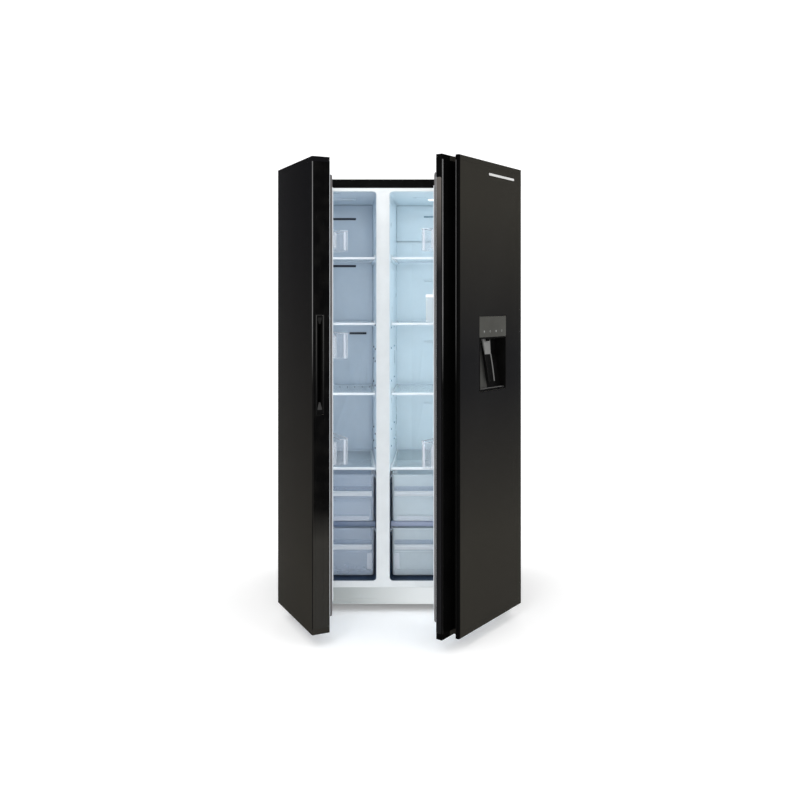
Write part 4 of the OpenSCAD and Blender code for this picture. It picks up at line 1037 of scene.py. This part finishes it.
# ---------------------------------------------------------------- machine room
COMPRESSOR = (-264, 515)


def fan(name, body, node, axis, centre, w0, depth, hub, reach, blades, finish, twist):
    """A fan wheel: rounded hub and twisted, swept blades."""
    p = Piece(name).use(finish)
    p.turned(axis, centre, [(4.4, w0), (hub - 2, w0), (hub - 0.4, w0 + 0.8), (hub, w0 + 2.4),
                            (hub, w0 + depth - 2.6), (hub - 0.6, w0 + depth - 0.8),
                            (hub - 2.6, w0 + depth), (4.4, w0 + depth)], 32,
             loop=True)
    for b in range(blades):
        base = 2 * math.pi * b / blades
        rows = []
        for i in range(7):
            t = i / 6
            r = hub - 1.5 + (reach - hub + 1.5) * t
            sweep, chord = base + 0.35 * t, 0.62 - 0.1 * t
            tilt = math.radians(twist) * (1 - 0.35 * t)
            ring = []
            for side in (1, -1):
                for j in range(5):
                    u = (j / 4 - 0.5) * (1 if side > 0 else -1)
                    a = sweep + u * chord
                    thick = 0.7 * side * (1 - (2 * u) ** 2 * 0.8)
                    rise = u * 2 * (depth * 0.42) * math.sin(tilt) / math.sin(math.radians(twist))
                    w = w0 + depth / 2 + rise + thick
                    ring.append((r * math.cos(a), r * math.sin(a), w))
            rows.append([along(axis, [(centre[0] + x, centre[1] + y)], w)[0] for x, y, w in ring])
        p.loft(rows)
    return p.done(body, node)


class FRIDGE_OT_machine_room(bpy.types.Operator):
    """Builds the compressor's pipes and box, the condenser, both fans, rollers and feet"""
    bl_idname = "fridge.machine_room"
    bl_label = "Machine room"

    def execute(self, context):
        dressed("compressor", "cabinet", "dark_steel", 1.0)
        dressed("condenser", "cabinet", "dark_steel", 0.3)
        dressed("evaporator", "cabinet", "fins", 0.0)
        dressed("dispenser_nozzle", "fridge_door", "nozzle", 0.5)
        seams = Piece("compressor_seam").use("dark_steel")
        seams.turned("z", COMPRESSOR, [(69.6, 150), (71.6, 150.6), (72, 152), (72, 155),
                                       (71.6, 156.4), (69.6, 157)],
                     48, loop=True)
        seams.done("cabinet")
        box = Piece("compressor_terminal_box").use("moulding")
        box.plate("x", 492, 538, 140, 190, -196, -184, 5, 2)
        box.done("cabinet")
        pipes = Piece("copper_pipes").use("copper")
        pipes.tube(bent([(-230, 500, 190), (-210, 478, 215), (-160, 478, 250), (-60, 478, 262),
                         (-26, 478, 262), (30, 478, 262), (38, 472, 238)], 18), 3.2)
        pipes.tube(bent([(-300, 530, 190), (-330, 550, 230), (-330, 560, 272),
                         (-250, 560, 276), (-180, 560, 276)],
                        16), 4)
        pipes.tube(bent([(-264, 560, 105), (-264, 580, 105), (-300, 584, 105),
                         (-340, 584, 180), (-340, 575, 240)],
                        14), 3)
        pipes.done("cabinet")
        drier = Piece("filter_drier").use("copper")
        drier.turned("x", (560, 276), [(2, -180), (4, -178), (8.5, -168), (9.5, -164), (9.5, -118),
                                       (8.5, -114), (4, -104), (2, -102)], 20)
        drier.done("cabinet")
        feet = [(COMPRESSOR[0] + sx * 84, COMPRESSOR[1] + sy * 35, 84.0) for sx in (-1, 1) for sy in (-1, 1)]
        screws("compressor_bolts", "cabinet", "cabinet", feet, (0, 0, 0), 6.0, 3.2)
        fan("condenser_fan_wheel", "condenser_fan", "condenser_fan", "x", (515, 165), -7.0, 15.0, 17.0, 44.0,
            5, "moulding", 30)
        fan("evaporator_fan_wheel", "evaporator_fan", "evaporator_fan", "y", (-261.325, 800), 497.0, 16.0,
            16.0, 40.0, 5, "lid", 30)
        for side, s in (("left", -1), ("right", 1)):
            name = "roller_" + side
            x = s * 394.0
            p = Piece(name + "_wheel").use("moulding")
            p.turned("x", (545, 22), [(4.6, x - 11.4), (9, x - 11.4), (10, x - 9), (15, x - 9),
                                      (16.4, x - 11), (20.6, x - 11), (22, x - 9.4), (22, x - 2.2),
                                      (21, x - 1.4), (21, x + 1.4), (22, x + 2.2), (22, x + 9.4),
                                      (20.6, x + 11), (16.4, x + 11), (15, x + 9), (10, x + 9),
                                      (9, x + 11.4), (4.6, x + 11.4)], 40, loop=True)
            p.done(name, name)
            name = "foot_" + side
            p = Piece(name + "_leveller").use("moulding")
            p.turned("z", (x, 45), [(15, 0.02), (18.6, 0.3), (19.8, 1.6), (20, 4), (19.4, 8),
                                    (17, 9.6), (12.2, 10.2)],
                     36, cap=(True, True))
            p.done(name, name)
            stem = Piece(name + "_stem").use("plated")
            rows = [(6 if i % 2 else 5.3, 16 + i * 1.1) for i in range(40)]
            stem.turned("z", (x, 45), [(5, 10)] + rows + [(4.6, 60.4)], 20)
            stem.prism("z", [(x + 12 * math.cos(math.radians(a)), 45 + 12 * math.sin(math.radians(a)))
                             for a in range(0, 360, 60)], 10.1, 16)
            stem.done(name)
        gland = Piece("cord_inlet_collar").use("moulding")
        gland.turned("y", (364, 120), [(4.4, 594), (8.8, 594), (9, 600.2), (9, 602.2), (8.4, 602.9),
                                       (5.2, 602.9), (4.4, 602)], 32, loop=True)
        gland.done("cabinet")
        return {"FINISHED"}


# ---------------------------------------------------------------- doors
def gasket(side, x0, x1):
    """A folded magnetic seal with a bellows foot."""
    z0, z1 = FLOOR_Z - 19, CEIL_Z + 18
    p = Piece(side + "_seal", side).use("seal")
    section = [(1, -11.7), (12, -11.7), (12.2, -10), (9.6, -9), (12.4, -7.6), (12.8, -6), (10.4, -5.2),
               (12.8, -4.4), (12.9, -2.6), (11.6, -1.6), (8, -1.5), (2.4, -1.6), (0.2, -2.6), (0, -4.6),
               (2.6, -5.4), (0.2, -6.4), (0.2, -8), (3, -9), (0.6, -10)]
    p.loft([along("y", round_rect(x0 + g, x1 - g, z0 + g, z1 - g, max(14 - g, 1.0), 5), y)
            for g, y in section],
           loop=True)
    p.done(side + "_door", side + "_door_gasket")


def door_liner(side, x0, x1, ra, rb, floors):
    """The moulded inner side of a door: pan, rounded dikes and the ledges that the bins hang on."""
    z0, z1 = DOOR_Z0 + 12, DOOR_Z1 - 12
    rz0, rz1 = FLOOR_Z + 20, CEIL_Z - 20
    p = Piece(side + "_door_pan", side).use("door_liner")
    rings = [along("y", round_rect(x0 + 1 + g, x1 - 1 - g, z0 + g, z1 - g, 5, 5), y)
             for g, y in ((0, -14), (0, -12.8), (0.8, -12.1), (2.2, -12))]
    rings += [along("y", round_rect(ra + g, rb - g, rz0 + g, rz1 - g, max(14 - g, 1.2), 5), y) for g, y in (
        (-9, -12), (-5, -11.4), (-2, -9.4), (-0.4, -5), (0.2, 6), (0.8, 12), (2.2, 14.8), (4.8, 16),
        (11.2, 16), (13.8, 14.8), (15.2, 12), (15.7, 6), (15.9, -9.6), (16.3, -11.4), (17.6, -12))]
    p.loft(rings)
    for z in floors:
        for x in (ra + 15.6, rb - 23.2):
            p.plate("x", -12.2, 11.6, z - 9, z - 0.4, x, x + 7.6, 3, 0.8)
    p.done(side + "_door", side + "_door_liner")


class FRIDGE_OT_doors(bpy.types.Operator):
    """Builds the doors' softened skins, caps, seals, moulded liners, pull pocket and badge bar"""
    bl_idname = "fridge.doors"
    bl_label = "Doors"

    def execute(self, context):
        s = context.scene.fridge_doors
        edge = s.edge * 1000
        for side in ("freezer", "fridge"):
            body = side + "_door"
            dressed(body + "_skin", body, body, min(edge, 0.5), 25)
            dressed(body + "_caps", body, body, edge, 25)
        dressed("fridge_grip_channel", "fridge_door", "groove", 0.8)
        gasket("freezer", -445.0, -68.0)
        gasket("fridge", -54.0, 445.0)
        door_liner("freezer", *FZ_DOOR, *FZ_RIDGE, [zf(BINS[n][2]) for n in BINS if n.startswith("freezer")])
        door_liner("fridge", *FR_DOOR, *FR_RIDGE,
                   [1172.0] + [zf(BINS[n][2]) for n in BINS if n.startswith("fridge")])
        x, z0, z1 = FZ_DOOR[1], 837.9, 1197.9
        p = Piece("pull_pocket", "freezer").use("edge")
        levels = [(x - 37.6, 0.2, 0.2, 0.2), (x - 0.9, 0.2, 0.2, 0.2), (x - 0.2, 0.8, 0.8, 0.8),
                  (x - 0.02, 1.6, 1.6, 1.6), (x - 0.6, 3.4, 16, 12), (x - 3.4, 4.4, 26, 20),
                  (x - 20, 4.6, 33, 26), (x - 34.4, 5.2, 35, 28), (x - 35.4, 7, 38, 31)]
        p.loft([along("x", round_rect(-64 + e, -40 - e, z0 + lo, z1 - hi, 3.4, 5), w)
                for w, e, lo, hi in levels])
        p.done("freezer_door", "freezer_handle_pocket")
        # the rim round the pull pocket, with a painted highlight towards its top
        rim = Piece("pull_pocket_rim_painted_highlight", "freezer").use("pocket_rim")
        for u0, u1, v0, v1 in ((-40.6, -36.2, z0 - 1, z1 + 1), (-67.6, -63.4, z0 - 1, z1 + 1),
                               (-63.4, -40.6, z1 - 0.8, z1 + 1), (-63.4, -40.6, z0 - 1, z0 + 0.8)):
            rim.plate("x", u0, u1, v0, v1, -63.64, -63.3, 0.6, 0.08)
        rim.done("freezer_door")
        for tag, zz, tall in (("top", z1 - 8, -24.0), ("foot", z0 + 19, 27.0)):
            # the lower end is painted lighter grey as a highlight; the top end stays dark
            tip = Piece("pull_" + tag, "freezer").use("foot_grey" if tag == "foot" else "tip_dark")
            rows = []
            for i in range(7):
                t = i / 6
                half = 10.6 * (1 - 0.74 * t ** 0.8)
                rows.append([(x - 0.15 - 1.6 * t * t - d, -52 + u, zz + tall * t) for u, d in (
                    (-half, 0.8), (-half * 0.6, 0.1), (0, -0.05), (half * 0.6, 0.1), (half, 0.8),
                    (half, 2.6), (-half, 2.6))])
            tip.loft(rows)
            tip.done("freezer_door")
        w = s.badge_width * 1000
        badge = Piece("badge_bar", "fridge").use("badge")
        b1 = FR_DOOR[1] - 62
        badge.plate("y", b1 - w, b1, 1719.5, 1728.5, DOOR_Y0 - 0.9, DOOR_Y0 + 0.2, 4, 0.35, 6)
        badge.done("fridge_door")
        # a thin sheet on the fridge door's end face that carries a painted highlight fading down from the
        # top
        trim = Piece("fridge_door_end_trim", "fridge").use("end_trim")
        trim.plate("x", -36, -14.2, 70, 1688, -58.7, -58.3, 6, 0.15)
        trim.done("fridge_door")
        cheek = Piece("fridge_door_end_cheek", "fridge").use("edge")
        cheek.loft([along("x", round_rect(-38.6 + e, -14.2 - e, 1689 + e, 1768 - e, (2, 2, 12, 2), 6), w)
                    for w, e in (
            (-58.72, 0.3), (-58.68, 0), (-58.3, 0))])
        cheek.done("fridge_door")
        # thin sheets on the freezer door's end face that carry a painted floor reflection, lighter towards
        # the foot
        side = Piece("freezer_door_end_sheet", "freezer").use("end_side")
        for u0, u1, v0, v1 in ((-77.4, -67.6, 67.6, 1751.4), (-67.5, -36.6, 1198.6, 1751.4),
                               (-67.5, -36.6, 67.6, 837.2), (-36.5, -14.6, 67.6, 1751.4)):
            side.plate("x", u0, u1, v0, v1, -63.6, -63.35, 0.4, 0.08)
        side.done("freezer_door")
        arc = [math.radians(302 + 46 * i / 5) for i in range(6)]
        outline = [(-67.5 + 4.12 * math.cos(a), -78 + 4.12 * math.sin(a)) for a in arc]
        outline += [(-67.5 + 3.4 * math.cos(a), -78 + 3.4 * math.sin(a)) for a in reversed(arc)]
        # a thin strip on the freezer door's front corner that carries a painted highlight
        lines = Piece("freezer_door_line", "freezer").use("line")
        lines.prism("z", outline, 70, 1751)
        lines.done("freezer_door")
        # thin strips along edges beside the fridge door's grip groove that carry painted highlights
        lines = Piece("fridge_door_lines", "fridge").use("line")
        lines.plate("y", -57.8, -50.0, 70, 1751, -39.15, -38.8, 0.6, 0.1)
        lines.use("soft_line").plate("x", -71.4, -68.3, 70, 1751, -15.12, -14.8, 0.6, 0.1)
        lines.done("fridge_door")
        return {"FINISHED"}


# ---------------------------------------------------------------- dispenser
class FRIDGE_OT_dispenser(bpy.types.Operator):
    """Builds the water dispenser's bezel, recess, keys, grille, lever and spout"""
    bl_idname = "fridge.dispenser"
    bl_label = "Water dispenser"

    def execute(self, context):
        xa, xb, z0, z1 = 128.0, 327.0, 914.0, 1192.0
        xm, top, y0 = (xa + xb) / 2, 1110.0, DOOR_Y0
        p = Piece("dispenser_bezel", "fridge").use("panel")
        # control panel with a softened rim
        p.plate("y", xa + 0.3, xb - 0.3, top + 4.4, z1 - 0.3, y0 - 0.98, y0 + 14, 2.2, 0.7)
        p.use("recess")
        rings = [along("y", round_rect(xa + 0.3 + e, xb - 0.3 - e, z0 + 0.3 + e, top + 4 - e, 2.2, 4), y)
                 for e, y in (
            (0, y0 + 52), (0, y0 - 0.2), (0.7, y0 - 0.95), (3.4, y0 - 0.95), (4.4, y0 - 0.2), (4.8, y0 + 2),
            (4.9, y0 + 52))]
        p.loft(rings, loop=True)
        p.done("fridge_door", "dispenser_housing")
        wall = Piece("dispenser_recess", "fridge").use("recess")
        outline = [(y0 + 1, z0 + 5), (y0 + 20, z0 + 5), (y0 + 51, top - 4),
                   (y0 + 51, top - 0.4), (y0 + 1, top - 0.4)]
        for x0, x1 in ((xb - 5.2, xb - 4.6), (xa + 4.6, xa + 5.2)):
            wall.prism("x", outline, x0, x1)
        wall.prism("x", [(y0 + 1, top - 1.2), (y0 + 52, top - 1.2),
                         (y0 + 52, top - 0.2), (y0 + 1, top - 0.2)],
                   xa + 4.8, xb - 4.8)
        wall.done("fridge_door")
        back = Piece("dispenser_back", "fridge").use("panel_dark")
        slope = []
        for i in range(9):
            t = i / 8
            slope.append((y0 + 20.6 + 30 * t + 0.8 * math.sin(math.pi * t), z0 + 4.6 + (top - 5 - z0) * t))
        hull = slope + [(y + 1.6, z) for y, z in reversed(slope)]
        back.prism("x", hull, xa + 4.9, xm - 8)
        # the right half of the sloped back takes the black recess finish: painted shade
        back.use("recess").prism("x", hull, xm - 7.9, xb - 4.9)
        back.done("fridge_door")
        tray = Piece("dispenser_drip_tray", "fridge").use("recess")
        tray.plate("z", xa + 6, xb - 6, y0 + 1.2, y0 + 20, z0 + 4.6, z0 + 7, 2, 0.6)
        tray.done("fridge_door")
        bars("dispenser_grille", "fridge", "fridge_door", 17, (xa + 14, y0 + 10.6, z0 + 8), (10.6, 0, 0),
             16.4, 2.2, 1.6, 0.6, (0, 0, QUARTER_TURN), "nozzle")
        icons = [(xm + 44 * (i - 1.5), y0 - 0.9, top + 26.0) for i in range(4)]
        keys = Piece("dispenser_keys", "fridge").use("key")
        for i, (x, y, z) in enumerate(icons):
            if i % 2:
                keys.turned("y", (x, z), [(0.8, y + 0.3), (3.6, y + 0.3), (3.9, y - 0.1), (3.6, y - 0.16),
                                          (2.7, y - 0.16), (2.4, y - 0.02), (0.8, y - 0.02)], 20)
            else:
                keys.plate("y", x - 3.6, x + 3.6, z - 3.6, z + 3.6, y - 0.16, y + 0.3, 1.6, 0.12)
                keys.plate("y", x - 1.2, x + 1.2, z - 6.4, z - 5.2, y - 0.14, y + 0.3, 0.5, 0.1)
        keys.done("fridge_door")
        ly, lz = y0 + 34, 1088.0
        lever = Piece("dispenser_lever", "fridge").use("recess")

        def lean(t):
            return ly - 1.6 - 26.4 * t, lz - 2 - 142 * t
        rows = []
        for i in range(13):
            t = i / 12
            y, z = lean(t)
            bow = 2.2 * math.sin(math.pi * t)
            half = 26.4 - 3.0 * t
            rows.append([(xm + u, y + v - bow, z) for u, v in (
                (-half, 0.6), (-half + 0.8, -0.6), (-half * 0.5, 0.5), (0, 0.9), (half * 0.5, 0.5),
                (half - 0.8, -0.6), (half, 0.6), (half - 0.8, 3), (0, 3.4), (-half + 0.8, 3))])
        lever.loft(rows)
        lever.turned("x", (ly, lz), [(0.6, xm - 32.8), (2.7, xm - 32.8), (2.9, xm - 32.2), (2.9, xm + 32.2),
                                     (2.7, xm + 32.8), (0.6, xm + 32.8)], 20)
        lever.done("dispenser_paddle", "dispenser_paddle")
        grip = Piece("dispenser_lever_head", "fridge").use("lever_head")
        rows = []
        for i in range(7):
            t = -0.155 + 0.42 * i / 6
            y, z = lean(t)
            half = 27.0 - 6 * (i / 6)
            deep = 9.0 - 4.5 * (i / 6)
            rows.append([(xm + u, y - v, z) for u, v in (
                (-half, 0), (-half, deep - 2), (-half + 2, deep), (half - 2, deep),
                (half, deep - 2), (half, 0))])
        grip.loft(rows)
        grip.done("dispenser_paddle")
        rail = Piece("dispenser_lever_rims", "fridge").use("rim_grey")
        rows = []
        for i in range(9):
            t = 0.26 + 0.72 * i / 8
            y, z = lean(t)
            half = 26.4 - 3.0 * t
            bow = 2.2 * math.sin(math.pi * t)
            rows.append([(xm + half + u, y - bow + v, z) for u, v in (
                (-7.0, -0.4), (-5.6, -1.5), (-0.4, -1.5), (0.3, -0.4), (0.3, 1.6), (-7.0, 1.6))])
        rail.loft(rows)
        rail.done("dispenser_paddle")
        spout = Piece("dispenser_spout", "fridge").use("recess")
        spout.turned("z", (xm, y0 + 24), [(4.4, top - 13), (6.4, top - 13.4), (7.8, top - 12),
                                          (9.4, top - 6), (12, top - 2), (12.6, top - 1),
                                          (4.4, top - 1)], 24, loop=True)
        spout.done("fridge_door")
        return {"FINISHED"}


class FRIDGE_OT_tank(bpy.types.Operator):
    """Builds the water tank, its lid and the filler knob"""
    bl_idname = "fridge.tank"
    bl_label = "Water tank"

    def execute(self, context):
        x0, x1, z0, z1 = FR_RIDGE[0] + 17, FR_RIDGE[1] - 17, 1172.0, 1262.0
        p = Piece("tank_shell", "fridge").use("tank")

        def ring(g, z):
            return along("z", round_rect(x0 + g, x1 - g, -11.4 + g, 64 - g, max(12 - g, 2), 6), z)
        p.loft([ring(5, z0), ring(2, z0 + 0.7), ring(1, z0 + 3), ring(0.4, z1 - 12), ring(0.1, z1 - 6),
                ring(0, z1 - 1), ring(0.6, z1 - 0.1), ring(1.9, z1 - 0.1), ring(2.5, z1 - 1),
                ring(3, z0 + 6), ring(4.6, z0 + 3.2), ring(8, z0 + 2.6)])
        p.turned("z", (227.5, 10), [(2, z0 - 8), (6.6, z0 - 8), (8, z0 - 6.6), (8, z0 + 0.5)], 24)
        p.done("water_tank", "water_tank")
        bars("tank_ribs", "fridge", "water_tank", 6, (x0 + 50, 62.6, z0 + 42), (60.0, 0, 0), 62, 1.8, 1.4,
             0.5, (0, QUARTER_TURN, 0), "frost")
        lid = Piece("tank_cover", "fridge").use("lid")
        lid.loft([ring(3.4, z1 - 5.8), ring(3.2, z1), ring(0.2, z1 + 0.4), ring(0.1, z1 + 1.4),
                  ring(0.2, z1 + 8), ring(1.2, z1 + 10.6), ring(3.6, z1 + 11.8), ring(9, z1 + 11.9),
                  ring(10, z1 + 10.9), ring(14, z1 + 10.7)])
        lid.done("tank_lid", "tank_lid")
        knob = Piece("tank_knob", "fridge").use("lid")
        n = 60
        rows = []
        for r, z, flute in ((16, z1 + 10.6, 0), (19.4, z1 + 11.4, 0), (19.6, z1 + 13, 0.6),
                            (19.4, z1 + 25, 0.6), (18.8, z1 + 27.6, 0.3),
                            (16.4, z1 + 29.6, 0), (9, z1 + 29.9, 0)):
            rows.append([(25.65 + (r - flute * (i % 3 == 0)) * math.cos(2 * math.pi * i / n),
                          33 + (r - flute * (i % 3 == 0)) * math.sin(2 * math.pi * i / n), z)
                          for i in range(n)])
        knob.loft(rows)
        knob.done("tank_lid")
        return {"FINISHED"}


# ---------------------------------------------------------------- operators
class FrameFinishSettings(bpy.types.PropertyGroup):
    door_tone: bpy.props.FloatProperty(
        name="Door gloss", description="Specular level of the black door paint",
        default=0.025, min=0.0, max=1.0)


class FRIDGE_OT_finishes(bpy.types.Operator):
    """Gives every carried-over node its finish"""
    bl_idname = "fridge.finishes"
    bl_label = "Finishes"

    def execute(self, context):
        table = finishes()
        for name, obj in frame["nodes"].items():
            paint_all(obj, table[NODE_FINISH[name]])
        for side in ("freezer", "fridge"):
            gloss = context.scene.fridge_finish.door_tone * (0.4 if side == "freezer" else 1.0)
            shader = table[side + "_door"].node_tree.nodes["Principled BSDF"]
            shader.inputs["Specular IOR Level"].default_value = gloss
        return {"FINISHED"}


class StageSettings(bpy.types.PropertyGroup):
    lens: bpy.props.FloatProperty(name="Lens", description="Focal length of the camera", default=39.06)
    eye: bpy.props.FloatProperty(
        name="Eye height", description="Height of the camera over the floor", default=1.241,
        subtype="DISTANCE", unit="LENGTH")
    away: bpy.props.FloatProperty(
        name="Distance", description="Distance of the camera from the cabinet's front", default=3.503,
        subtype="DISTANCE", unit="LENGTH")
    floor_tone: bpy.props.FloatVectorProperty(
        name="Floor", description="Colour of floor and backdrop",
        default=(0.965, 0.965, 0.965), subtype="COLOR")


LAMP_TINT = (0.93, 0.97, 1.0)


def area_light(name, place, aim, size, power, colour=(1.0, 1.0, 1.0)):
    light = bpy.data.lights.new(name, "AREA")
    light.shape, light.size, light.size_y = "RECTANGLE", size[0], size[1]
    light.energy, light.color = power, colour
    obj = bpy.data.objects.new(name, light)
    bpy.context.scene.collection.objects.link(obj)
    obj.location = place
    obj.rotation_euler = (Vector(aim) - Vector(place)).to_track_quat("-Z", "Y").to_euler()
    obj.visible_camera = False
    return obj


class FRIDGE_OT_stage(bpy.types.Operator):
    """Sets the camera, the soft lights and the pale floor with its curved backdrop"""
    bl_idname = "fridge.stage"
    bl_label = "Stage"

    def execute(self, context):
        s = context.scene.fridge_stage
        scene = context.scene
        data = bpy.data.cameras.new("camera")
        data.lens, data.sensor_width = s.lens, 36.0
        data.shift_x, data.shift_y = 0.0042, -0.121
        data.clip_start, data.clip_end = 0.05, 60.0
        cam = bpy.data.objects.new("camera", data)
        scene.collection.objects.link(cam)
        cam.location = (-0.01165, SHIFT / 1000 - s.away, s.eye)
        cam.rotation_euler = (QUARTER_TURN, 0, 0)
        scene.camera = cam
        world = bpy.data.worlds.new("studio")
        world.use_nodes = True
        world.node_tree.nodes["Background"].inputs[0].default_value = (1.0, 1.0, 1.0, 1.0)
        world.node_tree.nodes["Background"].inputs[1].default_value = 1.0
        scene.world = world
        scene.view_settings.view_transform = "Standard"
        p = Paint("studio_floor")
        tone = p.mix(p.noise(0.6, 2.0), tuple(s.floor_tone), (1.0, 1.0, 1.0))
        floor_mat = p.finish(Base_Color=tone, Roughness=0.8,
                             Emission_Color=(1.0, 1.0, 1.0), Emission_Strength=0.14)
        bm = bmesh.new()
        profile = [(-9.0, 0.0), (5.0, 0.0)]
        profile += [(5.0 + 2.0 * math.sin(a), 2.0 - 2.0 * math.cos(a)) for a in
                    [math.radians(d) for d in range(10, 91, 10)]]
        profile.append((7.0, 9.0))
        rows = [[bm.verts.new((x, y, z)) for x in (-12.0, 12.0)] for y, z in profile]
        for r0, r1 in zip(rows, rows[1:]):
            bm.faces.new((r0[0], r0[1], r1[1], r1[0]))
        mesh = bpy.data.meshes.new("studio_floor")
        bm.to_mesh(mesh)
        bm.free()
        for poly in mesh.polygons:
            poly.use_smooth = True
        floor = link("studio_floor", mesh)
        paint_all(floor, floor_mat)
        area_light("key_light", (-1.6, -3.2, 3.4), (0.0, 0.0, 0.9), (2.4, 2.0), 34.0)
        area_light("fill_light", (2.6, -2.6, 2.2), (0.0, 0.0, 0.9), (2.0, 2.4), 18.0)
        area_light("front_light", (0.0, -4.4, 1.6), (0.0, 0.2, 0.9), (1.2, 2.0), 24.0)
        y = SHIFT / 1000
        for name, c, s in (("freezer", FZ, -1), ("fridge", FR, 1)):
            xm = (c[0] + c[1]) / 2000
            area_light(name + "_lamp_light", (xm, y + 0.25, 1.68), (xm, y + 0.3, 0.9), (0.12, 0.05),
                       0.12 if s < 0 else 0.3, LAMP_TINT)
            side = (c[0] + 14) / 1000 if s < 0 else (c[1] - 14) / 1000
            for tag, z, left, right in (("upper", 1.3, 0.40, 0.64), ("middle", 0.78, 0.47, 0.78),
                                        ("lower", 0.34, 0.43, 0.75)):
                area_light(f"{name}_{tag}_strip_light", (side, y + 0.03, z), (side - s * 0.35, y + 0.35, z),
                           (0.03, 0.45), left if s < 0 else right, LAMP_TINT)
        return {"FINISHED"}


class FRIDGE_PT_panel(bpy.types.Panel):
    """Lists the refrigerator's settings"""
    bl_idname = "FRIDGE_PT_panel"
    bl_label = "Refrigerator"
    bl_space_type = "VIEW_3D"
    bl_region_type = "UI"
    bl_category = "Refrigerator"

    def draw(self, context):
        for attr, group in SETTINGS:
            box = self.layout.box()
            settings = getattr(context.scene, attr)
            for key in group.__annotations__:
                box.prop(settings, key)
        for op in OPERATORS:
            self.layout.operator(op.bl_idname)


SETTINGS = [("fridge_finish", FrameFinishSettings), ("fridge_doors", DoorSettings),
            ("fridge_tray", TrayStyle), ("fridge_stage", StageSettings)]
OPERATORS = [FRIDGE_OT_finishes, FRIDGE_OT_cabinet, FRIDGE_OT_ducts, FRIDGE_OT_shelves, FRIDGE_OT_drawers,
             FRIDGE_OT_bins, FRIDGE_OT_machine_room, FRIDGE_OT_doors, FRIDGE_OT_dispenser, FRIDGE_OT_tank,
             FRIDGE_OT_stage]
CLASSES = [group for _, group in SETTINGS] + OPERATORS + [FRIDGE_PT_panel]


def register():
    for cls in CLASSES:
        bpy.utils.register_class(cls)
    for attr, group in SETTINGS:
        setattr(bpy.types.Scene, attr, bpy.props.PointerProperty(type=group))


def unregister():
    for attr, _ in SETTINGS:
        delattr(bpy.types.Scene, attr)
    for cls in reversed(CLASSES):
        bpy.utils.unregister_class(cls)


def main():
    register()
    for op in OPERATORS:
        group, name = op.bl_idname.split(".")
        getattr(getattr(bpy.ops, group), name)()


if __name__ == "__main__":
    main()
